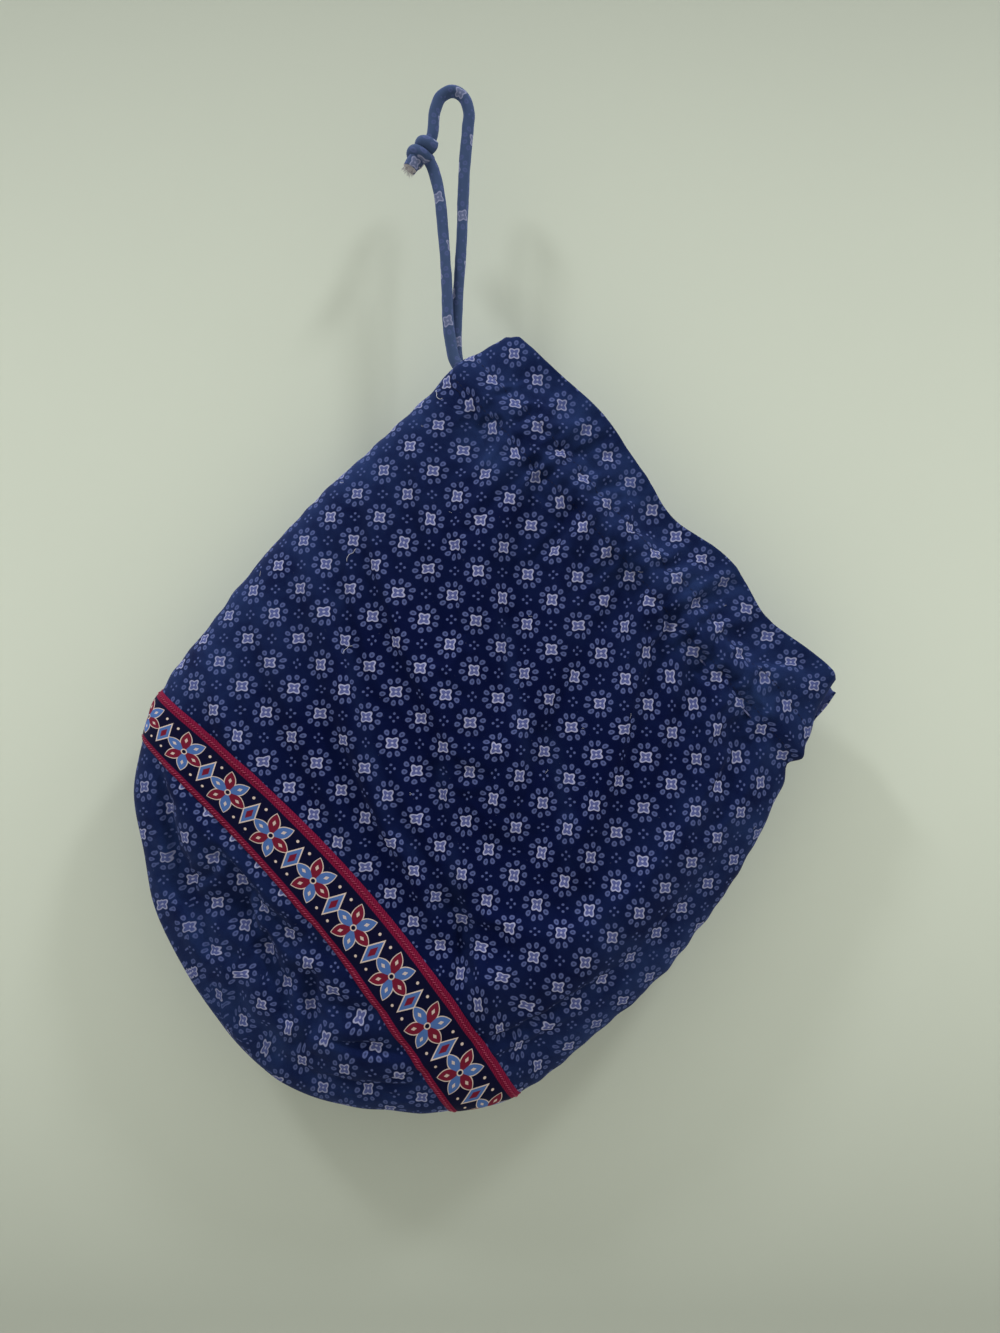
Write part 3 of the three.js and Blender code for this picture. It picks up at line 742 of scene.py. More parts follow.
class ClothSurface:
    """The outer skin of a panel: a grid of places with their normals and print coordinates."""

    def __init__(self, side, rows, shares, fine=None):
        self.side = side
        self.rows = rows
        row = rows[:, None]
        section = dict(zip(SECTION_COLUMNS, np.moveaxis(smooth_rows(SECTIONS, row), -1, 0)))
        outer = section["front"] if side == FRONT else section["back"]
        bulge = np.maximum(outer, LEAST_BULGE)
        square = section["square"]

        seam_down = np.where(shares < 0, section["left_down"], section["right_down"])
        closing = smooth_step(np.abs(seam_down - CASING_DOWN), EXIT_HALF_LENGTH / 2, EXIT_HALF_LENGTH)
        opened = np.where(shares < 0, 1 - closing, 0)
        gap = np.minimum(EXIT_HALF_GAP * opened, bulge / 2)
        reach = (1 - (gap / bulge) ** square) ** (1 / square)
        crowded = EDGE_CROWDING * math.pi / 2
        place = reach * np.sin(shares * crowded) / math.sin(crowded)

        middle = (section["left"] + section["right"]) / 2
        half = (section["right"] - section["left"]) / 2
        wobble = cloth_noise(seam_down / SEAM_WOBBLE_LENGTH, shares, SEEDS["seam_wobble"])
        half = half + SEAM_WOBBLE * wobble
        bumps = sum(
            size * np.exp(-(((seam_down - down) / width) ** 2)) for down, width, size in RIGHT_SEAM_BUMPS)
        half = half + bumps * smooth_step(shares, *RIGHT_SEAM_SHARES)
        across = middle + half * place
        frill = mouth_rise(across) * (1 - smooth_step(row, MOUTH_ROW, CASING_ROW))
        slope = (place + 1) / 2
        level = section["left_down"] * (1 - slope) + section["right_down"] * slope
        level = level - section["rise"] * (1 - place ** 2) - frill

        calm = (1 - place ** 4) * np.minimum(1, outer / FOLD_FULL_BULGE)
        relief = main_folds(side, across, level)
        if fine is not None:
            relief = (relief + fine_folds(side, across, level, fine)) * (1 - on_band(row))
        away = bulge * (1 - np.abs(place) ** square) ** (1 / square) + calm * relief

        at_left = smooth_step(-shares, *LEFT_CORNER_SHARES)
        left_corner = at_left * (1 - smooth_step(row, *LEFT_CORNER_ROWS))
        across = across + LEFT_CORNER_IN * left_corner
        level = level + LEFT_CORNER_DOWN * left_corner
        if side == FRONT:
            at_right = smooth_step(shares, *FRONT_CORNER_SHARES)
            corner = at_right * (1 - smooth_step(row, *FRONT_CORNER_ROWS))
            across = across - FRONT_CORNER_BACK * corner
            level = level - FRONT_CORNER_UP * corner
        self.places = np.stack([across, side * away, -level], axis=-1)
        self.points = to_world(self.places)
        self.fabric = self.print_coordinates(across, away, level)

    @staticmethod
    def print_coordinates(across, away, level):
        """How far along and down the flat cloth each place is, in metres."""
        along_step = np.hypot(np.diff(across, axis=1), np.diff(away, axis=1))
        along = np.pad(np.cumsum(along_step, axis=1), ((0, 0), (1, 0)))
        zero = np.clip(0, across[:, 0], across[:, -1])
        middle = np.array([np.interp(at, x, run) - at for at, x, run in zip(zero, across, along)])
        down_step = np.hypot(np.diff(level, axis=0), np.diff(away, axis=0))
        down = np.pad(np.cumsum(down_step, axis=0), ((1, 0), (0, 0))) + level[:1]
        return np.stack([along - middle[:, None], down], axis=-1) * MM

    @property
    def normals(self):
        down, along = np.gradient(self.points, axis=0), np.gradient(self.points, axis=1)
        outward = unit_vectors(np.cross(down, along))
        return outward if outward[..., 1].mean() * self.side > 0 else -outward

    def line(self, row):
        """Places and normals along one row of the cloth."""
        index = np.interp(row, self.rows, np.arange(len(self.rows)))
        low = min(int(index), len(self.rows) - 2)
        share = index - low
        normals = self.normals
        places = self.points[low] * (1 - share) + self.points[low + 1] * share
        return places, unit_vectors(normals[low] * (1 - share) + normals[low + 1] * share)


def cloth_rows(first, last, step):
    """Row positions from one section to another, about one step apart down the cloth."""
    rows = []
    for row in range(int(first), int(last)):
        across, down = (SECTIONS[row + 1, :2] - SECTIONS[row, :2]) * MM
        along_seam = math.hypot(across, down)
        count = max(4, round(down / step), round(along_seam / (step * SEAM_STEP)))
        rows.extend(np.linspace(row, row + 1, count, endpoint=False))
    return np.array(rows + [last])


def averaged(grid, reach):
    """Each place's average with the places within reach of it along both ways of the grid."""
    for axis in (0, 1, 0, 1):
        padding = [(0, 0)] * grid.ndim
        padding[axis] = (reach + 1, reach)
        total = np.cumsum(np.pad(grid, padding, mode="edge"), axis=axis)
        count = grid.shape[axis]
        width = 2 * reach + 1
        later = np.take(total, range(width, width + count), axis=axis)
        grid = (later - np.take(total, range(count), axis=axis)) / width
    return grid


def hang(sheet, held, fitted):
    """Let a loose sheet hang, and give its places. held and fitted are its points' weights: how firmly
    each is held, and how little spare cloth it has."""
    for name, weights in (("held", held), ("fitted", fitted)):
        group = sheet.vertex_groups.new(name=name)
        for index, weight in enumerate(weights.ravel()):
            group.add([index], float(weight), "REPLACE")

    modifier = sheet.modifiers.new("hanging", "CLOTH")
    settings = modifier.settings
    settings.vertex_group_mass = "held"
    settings.vertex_group_shrink = "fitted"
    settings.quality = 6
    settings.mass = 0.1
    settings.tension_stiffness = 15
    settings.compression_stiffness = 8
    settings.shear_stiffness = 3
    settings.bending_stiffness = 0.004
    settings.shrink_min = -SETTLE_SPARE
    settings.shrink_max = 0
    settings.effector_weights.gravity = SETTLE_GRAVITY
    modifier.collision_settings.use_collision = False
    modifier.point_cache.frame_end = SETTLE_FRAMES
    scene = bpy.context.scene
    for each in range(1, SETTLE_FRAMES + 1):
        scene.frame_set(each)
    hung = sheet.evaluated_get(bpy.context.evaluated_depsgraph_get()).data
    points = np.empty(len(hung.vertices) * 3, dtype=np.float32)
    hung.vertices.foreach_get("co", points)
    scene.frame_set(1)
    mesh = sheet.data
    bpy.data.objects.remove(sheet)
    bpy.data.meshes.remove(mesh)
    return points


def settling(side, cloth, rows, shares):
    """How far each place of a panel's grid moves when the cloth hangs, in metres."""
    loose_rows = cloth_rows(MOUTH_ROW, BOTTOM_ROW, cloth.step * 2)
    loose_shares = np.linspace(-1, 1, cloth.columns // 2)
    surface = ClothSurface(side, loose_rows, loose_shares, fine=cloth)
    sheet = cloth_piece("loose_sheet", surface, surface.points, surface.fabric, [])
    near_seam = smooth_step(np.abs(loose_shares), *HELD_SHARES)[None]
    near_bottom = smooth_step(loose_rows, *HELD_BOTTOM_ROWS)[:, None]
    on_cord = np.exp(-(((loose_rows - CASING_ROW) / CORD_HOLD_ROWS) ** 2))[:, None]
    held = np.maximum(np.maximum(near_seam, near_bottom), on_cord)
    off_seam = 1 - smooth_step(np.abs(loose_shares), *SPARE_SHARES)[None]
    off_bottom = 1 - smooth_step(loose_rows, *SPARE_BOTTOM_ROWS)[:, None]
    points = hang(sheet, held, 1 - off_seam * off_bottom)

    moved = points.reshape(surface.points.shape) - surface.points
    moved = moved - averaged(moved, SAG_REACH)
    far = np.linalg.norm(moved, axis=-1, keepdims=True)
    limit = SETTLE_LIMIT * MM
    moved = moved * np.tanh(far / limit) * limit / np.maximum(far, 1e-9)
    calm_seam = 1 - smooth_step(np.abs(loose_shares), *CALM_SHARES)[None, :, None]
    calm_bottom = 1 - smooth_step(loose_rows, *CALM_BOTTOM_ROWS)[:, None, None]
    calm_mouth = smooth_step(loose_rows, *CALM_MOUTH_ROWS)[:, None, None]
    calm_band = 1 - on_band(loose_rows)[:, None, None]
    moved = moved * calm_seam * calm_bottom * calm_mouth * calm_band
    row_place = np.interp(rows, loose_rows, np.arange(len(loose_rows)))
    share_place = np.interp(shares, loose_shares, np.arange(len(loose_shares)))
    by_row = smooth_rows(moved.reshape(len(loose_rows), -1), row_place)
    by_share = by_row.reshape(len(rows), len(loose_shares), 3).transpose(1, 0, 2)
    fine = smooth_rows(by_share.reshape(len(loose_shares), -1), share_place)
    return fine.reshape(len(shares), len(rows), 3).transpose(1, 0, 2)


# Meshes.

def grid_faces(row_count, column_count, flipped):
    corner = (np.arange(row_count - 1)[:, None] * column_count + np.arange(column_count - 1)).ravel()
    quads = np.stack([corner, corner + column_count, corner + column_count + 1, corner + 1], axis=1)
    return quads[:, ::-1] if flipped else quads


def mesh_piece(name, points, faces, corner_fabric, materials, second=None):
    """A smooth mesh with its print coordinates, given for each corner of each face in turn.
    second marks the faces that take the second material."""
    mesh = bpy.data.meshes.new(name)
    mesh.from_pydata(points.tolist(), [], [list(map(int, face)) for face in faces])
    layer = mesh.uv_layers.new(name="fabric")
    layer.data.foreach_set("uv", np.asarray(corner_fabric, dtype=np.float32).ravel())
    mesh.polygons.foreach_set("use_smooth", np.ones(len(mesh.polygons), dtype=bool))
    for material in materials:
        mesh.materials.append(material)
    if second is not None:
        mesh.polygons.foreach_set("material_index", np.asarray(second, dtype=np.int32))
    mesh.update()
    piece = bpy.data.objects.new(name, mesh)
    bpy.context.scene.collection.objects.link(piece)
    return piece


def cloth_piece(name, surface, points, fabric, materials):
    row_count, column_count = points.shape[:2]
    faces = grid_faces(row_count, column_count, surface.side == BACK)
    return mesh_piece(
        name, points.reshape(-1, 3), faces, fabric.reshape(-1, 2)[faces.ravel()], materials)


def mark_wear_and_edge_light(piece, surface, shares):
    """Store how pale each place of a panel is painted: painted edge light along its seams, its mouth and
    its bottom, and real wear at rubbed places and on creases.
    """
    # Painted edge light: the seams, mouth and bottom are made paler, as light pales the bag's edges.
    lit_near_seam = smooth_step(np.abs(shares), *EDGE_LIGHT_SHARES)[None]
    lit_near_mouth = 1 - smooth_step(surface.rows, *MOUTH_LIGHT_ROWS)[:, None]
    lit_near_bottom = smooth_step(surface.rows, *BOTTOM_LIGHT_ROWS)[:, None]
    wear = np.maximum(np.maximum(lit_near_seam, lit_near_mouth), lit_near_bottom)
    across, down = surface.places[..., 0], -surface.places[..., 2]
    for place, depth, width in RUBBED:
        off = np.hypot(across - place, down - depth) / width
        wear = wear + RUBBED_WEAR * np.exp(-(off ** 2))
    for points, _, _, step in CREASES[surface.side]:
        if abs(step) >= CREASED_STEP:
            nearest, _ = off_crease(points, across, down)
            wear = wear + CREASED_WEAR * np.exp(-((nearest / CREASED_WIDTH) ** 2))
    attribute = piece.data.attributes.new("wear", "FLOAT", "POINT")
    attribute.data.foreach_set("value", wear.astype(np.float32).ravel())


def select_only(piece):
    bpy.ops.object.select_all(action="DESELECT")
    piece.select_set(True)
    bpy.context.view_layer.objects.active = piece


def thicken(piece, thickness, offset):
    """Give a sheet its thickness. Its inner faces take the second material."""
    select_only(piece)
    modifier = piece.modifiers.new("thickness", "SOLIDIFY")
    modifier.thickness = thickness
    modifier.offset = offset
    modifier.material_offset = 1 if len(piece.data.materials) > 1 else 0
    bpy.ops.object.modifier_apply(modifier=modifier.name)


def tube_rings(route):
    """Two directions across a route at each of its points, carried along it without twisting."""
    along = unit_vectors(np.gradient(route, axis=0))
    helper = np.array([0, 1, 0]) if abs(along[0, 1]) < 0.9 else np.array([1, 0, 0])
    first = [unit_vectors(np.cross(along[0], helper))]
    for direction in along[1:]:
        carried = first[-1] - direction * (first[-1] @ direction)
        first.append(unit_vectors(carried))
    first = np.array(first)
    return first, np.cross(along, first)


def tube_mesh(route, radii, sides, shift=0.0):
    """Points, faces and print coordinates of a closed tube. radii gives each ring's radius at each side,
    and shift is how far the print is moved along the flat cloth, which is cut on the bias."""
    first, second = tube_rings(route)
    angles = np.arange(sides) * 2 * np.pi / sides
    spokes = first[:, None] * np.cos(angles)[:, None] + second[:, None] * np.sin(angles)[:, None]
    rings = route[:, None] + spokes * radii[..., None]
    points = np.vstack([rings.reshape(-1, 3), route[:1], route[-1:]])

    along = run_length(route)
    around = 2 * np.pi * radii.mean() / sides
    ring, side = np.divmod(np.arange((len(route) - 1) * sides), sides)
    near = ring * sides
    quads = np.stack([near + side, near + (side + 1) % sides,
                      near + sides + (side + 1) % sides, near + sides + side], axis=1)
    quad_fabric = np.stack([
        np.stack([side * around, (side + 1) * around, (side + 1) * around, side * around], axis=1),
        np.stack([along[ring], along[ring], along[ring + 1], along[ring + 1]], axis=1),
    ], axis=-1)

    one = np.arange(sides)
    start, end = len(points) - 2, len(points) - 1
    far = (len(route) - 1) * sides
    caps = np.vstack([
        np.stack([np.full(sides, start), (one + 1) % sides, one], axis=1),
        np.stack([np.full(sides, end), far + one, far + (one + 1) % sides], axis=1),
    ])
    cap_fabric = np.repeat(np.stack([one * around, np.zeros(sides)], axis=1)[:, None], 3, axis=1)
    cap_fabric = np.vstack([cap_fabric, cap_fabric])
    faces = [*quads.tolist(), *caps.tolist()]
    fabric = np.vstack([quad_fabric.reshape(-1, 2), cap_fabric.reshape(-1, 2)])
    cosine, sine = math.cos(BIAS), math.sin(BIAS)
    start = [shift, TUBE_PRINT_START + TUBE_PRINT_DRIFT * shift]
    fabric = fabric @ np.array([[cosine, sine], [-sine, cosine]]) + start
    return points, faces, fabric


def joined(meshes):
    """Several meshes as one, each given as points, faces and print coordinates."""
    points, faces, fabric, count = [], [], [], 0
    for mesh_points, mesh_faces, mesh_fabric in meshes:
        points.append(mesh_points)
        faces.extend([[index + count for index in face] for face in mesh_faces])
        fabric.append(mesh_fabric)
        count += len(mesh_points)
    return np.vstack(points), faces, np.vstack(fabric)


def fabric_tube_radii(route, diameter, sides, seed):
    """A sewn tube isn't quite round: it puckers a little along its length, and twists."""
    along = run_length(route)[:, None] / MM
    angle = np.arange(sides) * 2 * np.pi / sides
    along, angle = np.broadcast_arrays(along, angle)
    oval = TUBE_UNEVEN * np.cos(2 * (angle + along / TUBE_TWIST_LENGTH))
    pucker = TUBE_UNEVEN * cloth_noise(along / TUBE_PUCKER_LENGTH, 2.2 * np.cos(angle) + seed, seed)
    dent = TUBE_UNEVEN * cloth_noise(along / TUBE_DENT_LENGTH, 1.3 * np.sin(angle) + seed, seed + 7)
    return diameter / 2 * (1 + oval + pucker + dent)


# Materials.

class Number:
    """A number in a node tree, which adds, multiplies and so on as plain numbers do."""

    def __init__(self, tree, socket):
        self.tree = tree
        self.socket = socket

    def use(self, operation, *others, held=False):
        node = self.tree.nodes.new("ShaderNodeMath")
        node.operation = operation
        node.use_clamp = held
        for socket, operand in zip(node.inputs, (self, *others)):
            feed(self.tree, socket, operand)
        return Number(self.tree, node.outputs[0])

    def __add__(self, other):
        return self.use("ADD", other)

    def __sub__(self, other):
        return self.use("SUBTRACT", other)

    def __mul__(self, other):
        return self.use("MULTIPLY", other)

    def __truediv__(self, other):
        return self.use("DIVIDE", other)

    __radd__ = __add__
    __rmul__ = __mul__

    def __rsub__(self, other):
        return (self * -1.0) + other

    def __abs__(self):
        return self.use("ABSOLUTE")

    def floor(self):
        return self.use("FLOOR")

    def fraction(self):
        return self.use("FRACT")

    def remainder(self, divisor):
        return self.use("FLOORED_MODULO", divisor)

    def sine(self):
        return self.use("SINE")

    def cosine(self):
        return self.use("COSINE")

    def held(self):
        return self.use("ADD", 0.0, held=True)


def feed(tree, socket, value):
    """Link a number of the tree into a socket, or set the socket's own value."""
    if isinstance(value, Number):
        tree.links.new(value.socket, socket)
    else:
        socket.default_value = value


def distance(x, y):
    return (x * x + y * y).use("SQRT")


def inside(limit, value, soft):
    """1 where the value is under the limit and 0 where it is over it, with a soft edge."""
    return ((limit - value) / soft + 0.5).held()


def split_vector(tree, socket):
    node = tree.nodes.new("ShaderNodeSeparateXYZ")
    tree.links.new(socket, node.inputs[0])
    return [Number(tree, output) for output in node.outputs]


def mixed(tree, mask, under, over):
    """One colour over another where the mask is 1. A colour is four numbers or a socket."""
    node = tree.nodes.new("ShaderNodeMix")
    node.data_type = "RGBA"
    feed(tree, node.inputs["Factor"], mask)
    for socket, colour in ((node.inputs[6], under), (node.inputs[7], over)):
        if isinstance(colour, bpy.types.NodeSocket):
            tree.links.new(colour, socket)
        else:
            socket.default_value = tuple(colour)
    return node.outputs[2]


def noise_number(tree, vector, scale, detail=2.0, roughness=0.5):
    node = tree.nodes.new("ShaderNodeTexNoise")
    tree.links.new(vector, node.inputs["Vector"])
    node.inputs["Scale"].default_value = scale
    node.inputs["Detail"].default_value = detail
    node.inputs["Roughness"].default_value = roughness
    return Number(tree, node.outputs["Fac"])


def new_group(name, numbers, outputs):
    """An empty node group that takes the place on the flat cloth, and some numbers with their defaults."""
    tree = bpy.data.node_groups.new(name, "ShaderNodeTree")
    tree.interface.new_socket(name="Fabric", in_out="INPUT", socket_type="NodeSocketVector")
    for label, default in numbers.items():
        socket = tree.interface.new_socket(name=label, in_out="INPUT", socket_type="NodeSocketFloat")
        socket.default_value = default
    for label in outputs:
        tree.interface.new_socket(name=label, in_out="OUTPUT", socket_type="NodeSocketFloat")
    given = tree.nodes.new("NodeGroupInput")
    result = tree.nodes.new("NodeGroupOutput")
    values = {label: Number(tree, given.outputs[label]) for label in numbers}
    return tree, given.outputs["Fabric"], values, result


def put_out(tree, result, **masks):
    """Give a node group's results to its outputs by their names."""
    for label, mask in masks.items():
        tree.links.new(mask.socket, result.inputs[label])


def rosette_group():
    """Masks of small rosettes in a straight grid, with a sprig of dots between: petals, centre, heart."""
    name = "Rosette print"
    if name in bpy.data.node_groups:
        return bpy.data.node_groups[name]
    tree, fabric, given, result = new_group(
        name, {"Spacing": ROSETTE_SPACING, "Row spacing": ROSETTE_SPACING}, ("Petals", "Centre", "Heart"))
    along, down, _ = split_vector(tree, fabric)
    column = along / given["Spacing"]
    row = down / given["Row spacing"]
    x = (column.fraction() - 0.5) * given["Spacing"]
    y = (row.fraction() - 0.5) * given["Row spacing"]
    radius = distance(x, y)
    turn = y.use("ARCTAN2", x)

    pitch = 2 * math.pi / ROSETTE_PETALS
    off_petal = ((turn / pitch).fraction() - 0.5) * pitch
    out = (radius * off_petal.cosine() - PETAL_RING) / PETAL_HALF_LENGTH
    aside = (radius * off_petal.sine()) / (out * PETAL_FLARE + PETAL_HALF_WIDTH)
    across_petal = distance(out, aside)
    hollow = inside(PETAL_HOLLOW, across_petal, PETAL_HOLLOW_EDGE)
    petals = inside(1.0, across_petal, PETAL_EDGE) - hollow * PETAL_HOLLOW_DEPTH

    sprig_x = ((column + 0.5).fraction() - 0.5) * given["Spacing"]
    sprig_y = ((row + 0.5).fraction() - 0.5) * given["Row spacing"]
    off_dot = distance(abs(sprig_x) - SPRIG_PLACE, abs(sprig_y) - SPRIG_PLACE)
    dots = inside(SPRIG_DOT, off_dot, PRINT_BLUR)

    lobe = (turn * CENTRE_LOBE_COUNT).cosine() * CENTRE_LOBE_DEPTH + CENTRE_RADIUS
    centre = inside(lobe, radius, PRINT_BLUR)
    heart = inside(lobe - CENTRE_OUTLINE, radius, PRINT_BLUR) - inside(CENTRE_DOT, radius, PRINT_BLUR)
    put_out(tree, result, Petals=petals + dots, Centre=centre, Heart=heart.held())
    return tree


def cotton_group():
    """Plain weave and wear of the cotton: thread height, uneven dye, and lint."""
    name = "Cotton weave"
    if name in bpy.data.node_groups:
        return bpy.data.node_groups[name]
    tree, fabric, given, result = new_group(name, {"Thread": WEAVE_THREAD}, ("Height", "Dye", "Lint"))
    along, down, _ = split_vector(tree, fabric)
    warp = along / given["Thread"]
    weft = down / given["Thread"]
    over = (warp * math.pi).sine() * (weft * math.pi).sine()
    slub = noise_number(tree, fabric, SLUB_SCALE, 2)
    height = over * WEAVE_HEIGHT + slub * SLUB_HEIGHT + LEAST_HEIGHT
    patches = noise_number(tree, fabric, DYE_SCALE, 4, 0.6)
    threads = noise_number(tree, fabric, DYED_THREAD_SCALE, 1)
    dye = (patches - 0.5) * DYE_CONTRAST + (threads - 0.5) * DYED_THREAD_CONTRAST + 0.5
    specks = noise_number(tree, fabric, LINT_SCALE, 3, 0.75)
    lint = ((specks - LINT_FROM) / LINT_EDGE_WIDTH).held()
    put_out(tree, result, Height=height, Dye=dye.held(), Lint=lint)
    return tree


def new_material(name):
    material = bpy.data.materials.new(name)
    material.use_nodes = True
    return material, material.node_tree, material.node_tree.nodes["Principled BSDF"]


def place_group(tree, group, fabric, **numbers):
    """Use a node group at the places on the flat cloth, and give its outputs by their names."""
    node = tree.nodes.new("ShaderNodeGroup")
    node.node_tree = group
    tree.links.new(fabric, node.inputs["Fabric"])
    for label, value in numbers.items():
        node.inputs[label.replace("_", " ")].default_value = value
    return {output.name: Number(tree, output) for output in node.outputs}


def fabric_place(tree):
    node = tree.nodes.new("ShaderNodeUVMap")
    node.uv_map = "fabric"
    return node.outputs[0]


def finish_cotton(tree, shader, fabric, colour, faded_and_lit, raised=0.0):
    """Weave, uneven dye, lint, and fading with painted edge light over a cotton's printed colour, with a
    soft matt surface.
    raised is the height of what is woven or sewn on top of the plain weave."""
    cotton = place_group(tree, cotton_group(), fabric)
    attribute = tree.nodes.new("ShaderNodeAttribute")
    attribute.attribute_name = "wear"
    # Painted edge light and real wear: the stored mark mixes the colour toward the pale faded colour.
    wear = Number(tree, attribute.outputs["Fac"]) * MOST_WEAR_AND_LIGHT + LEAST_WEAR
    worn_and_lit = mixed(tree, wear * (cotton["Dye"] * 1.7 + 0.1), colour, faded_and_lit)
    linted = mixed(tree, cotton["Lint"] * LINT_STRENGTH, worn_and_lit, LINT_COLOUR)
    tree.links.new(linted, shader.inputs["Base Color"])
    rough = cotton["Dye"] * COTTON_ROUGHNESS_RANGE + COTTON_ROUGHNESS
    tree.links.new(rough.socket, shader.inputs["Roughness"])
    node = tree.nodes.new("ShaderNodeBump")
    node.inputs["Strength"].default_value = WEAVE_BUMP
    node.inputs["Distance"].default_value = WEAVE_DEPTH
    tree.links.new((cotton["Height"] + raised).socket, node.inputs["Height"])
    tree.links.new(node.outputs[0], shader.inputs["Normal"])
    shader.inputs["Specular IOR Level"].default_value = 0.04
    shader.inputs["Sheen Weight"].default_value = 0.06
    shader.inputs["Sheen Roughness"].default_value = 0.45
    shader.inputs["Sheen Tint"].default_value = SHEEN


def printed_cotton(name, settings, ground, heart, strength):
    """The rosette cotton on its ground colour. strength is how strongly the print shows, from 0 to 1."""
    if name in bpy.data.materials:
        return bpy.data.materials[name]
    material, tree, shader = new_material(name)
    fabric = fabric_place(tree)
    masks = place_group(
        tree, rosette_group(), fabric, Spacing=settings.spacing, Row_spacing=settings.row_spacing)
    colour = mixed(tree, masks["Petals"] * strength, ground, settings.petal)
    colour = mixed(tree, masks["Centre"] * strength, colour, settings.centre)
    colour = mixed(tree, masks["Heart"] * strength, colour, heart)
    finish_cotton(tree, shader, fabric, colour, FADED_AND_EDGE_LIT)
    return material


def right_side_cotton(context):
    settings = context.scene.bag_print
    return printed_cotton("printed_cotton_print", settings, settings.ground, settings.heart, 1.0)


def wrong_side_cotton(context):
    settings = context.scene.bag_print
    return printed_cotton(
        "printed_cotton_reverse", settings, settings.reverse, settings.heart, REVERSE_PRINT_STRENGTH)


def cord_cotton(context):
    settings = context.scene.bag_print
    return printed_cotton(
        "cord_cotton_print", settings, settings.cord, settings.cord, CORD_PRINT_STRENGTH)


def border_cotton(settings):
    """The border's print: six-petalled rosettes in two colours with lozenges between, and edge stripes."""
    name = "border_cotton_print"
    if name in bpy.data.materials:
        return bpy.data.materials[name]
    material, tree, shader = new_material(name)
    fabric = fabric_place(tree)
    along, down, _ = split_vector(tree, fabric)
    unit, half = settings.unit, settings.width / 2
    y = down - half

    x = ((along / unit).fraction() - 0.5) * unit
    radius = distance(x, y)
    turn = y.use("ARCTAN2", x) / BORDER_PETAL_TURN
    petal_number = (turn + 0.5).floor()
    off_petal = ((turn + 0.5).fraction() - 0.5) * BORDER_PETAL_TURN
    out = radius * off_petal.cosine()
    aside = abs(radius * off_petal.sine())
    half_reach = BORDER_PETAL_REACH / 2
    middle = (out - half_reach) / half_reach
    flank = (1.0 - middle * middle) * BORDER_PETAL_HALF_WIDTH - aside
    petal = (flank / BORDER_BLUR + 0.5).held()
    petal_fill = ((flank - BORDER_OUTLINE) / BORDER_BLUR + 0.5).held()
    pip_shape = abs(out - BORDER_PETAL_REACH * BORDER_PIP_PLACE) / BORDER_PIP[0] + aside / BORDER_PIP[1]
    pip = inside(1.0, pip_shape, BORDER_PIP_EDGE) * BORDER_PIP_STRENGTH
    ring = inside(BORDER_RING, radius, BORDER_BLUR)
    ring_fill = inside(BORDER_RING_FILL, radius, BORDER_BLUR)

    between = ((along / unit + 0.5).fraction() - 0.5) * unit
    lozenge_shape = abs(between) / LOZENGE[0] + abs(y) / LOZENGE[1]
    lozenge = inside(1.0, lozenge_shape, LOZENGE_EDGE)
    lozenge_fill = inside(LOZENGE_FILL, lozenge_shape, LOZENGE_EDGE)
    lozenge_heart = inside(LOZENGE_HEART, lozenge_shape, LOZENGE_HEART_EDGE)
    off_dot = distance(abs(between) - BORDER_DOT_PLACE[0], abs(y) - BORDER_DOT_PLACE[1])
    dots = inside(BORDER_DOT, off_dot, BORDER_BLUR)

    two_tone = mixed(tree, petal_number.remainder(2.0), settings.warm_petal, settings.cool_petal)
    colour = settings.ground
    for mask, over in (
            (petal, settings.outline), (petal_fill, two_tone), (pip * petal_fill, settings.outline),
            (ring, settings.outline), (ring_fill, settings.ground), (lozenge, settings.outline),
            (lozenge_fill, settings.cool_petal), (lozenge_heart, settings.warm_petal),
            (dots, settings.outline)):
        colour = mixed(tree, mask, colour, over)
    upper_stripe = inside(UPPER_STRIPE, down, BORDER_BLUR)
    stripe = upper_stripe + inside(LOWER_STRIPE, settings.width - down, BORDER_BLUR)
    strand = ((along + abs(y) * STRIPE_SLANT) * (2 * math.pi / STRIPE_STRAND)).sine() * 0.5 + 0.5
    fleck = strand * noise_number(tree, fabric, STRIPE_FLECK_SCALE, 2) * STRIPE_FLECK
    crimson = mixed(tree, fleck, settings.edge, settings.thread)
    colour = mixed(tree, stripe, colour, crimson)
    finish_cotton(tree, shader, fabric, colour, BORDER_FADED, stripe * strand)
    return material


def thread_material(name, colour, pale):
    """Sewing thread whose strands go from one colour to a paler one."""
    if name in bpy.data.materials:
        return bpy.data.materials[name]
    material, tree, shader = new_material(name)
    object_place = tree.nodes.new("ShaderNodeTexCoord").outputs["Object"]
    strands = noise_number(tree, object_place, STRAND_SCALE, 3, 0.6)
    tree.links.new(mixed(tree, strands, colour, pale), shader.inputs["Base Color"])
    rough = strands * THREAD_ROUGHNESS_RANGE + THREAD_ROUGHNESS
    tree.links.new(rough.socket, shader.inputs["Roughness"])
    shader.inputs["Specular IOR Level"].default_value = 0.2
    return material


def dress(piece, slot, *nodes):
    """Put a finished piece on the part: its body, and the solids it stands for, which are hidden. slot, the
    material slot's name, is not used.
    """
    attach(piece, "root")
    if nodes:
        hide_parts(*nodes)


# The panels' surfaces, kept for the pieces that are sewn onto them.
SURFACES = {}


class BAG_OT_camera(bpy.types.Operator):
    """Place the camera square to the bag's front."""
    bl_idname = "bag.place_camera"
    bl_label = "Place Camera"

    def execute(self, context):
        settings = context.scene.bag_stage
        camera = bpy.data.cameras.new("camera")
        camera.lens = settings.lens
        camera.sensor_width = 36
        camera.sensor_fit = "AUTO"
        holder = bpy.data.objects.new("camera", camera)
        holder.location = settings.eye
        holder.rotation_euler = (math.pi / 2, 0, 0)
        context.scene.collection.objects.link(holder)
        context.scene.camera = holder
        return {"FINISHED"}


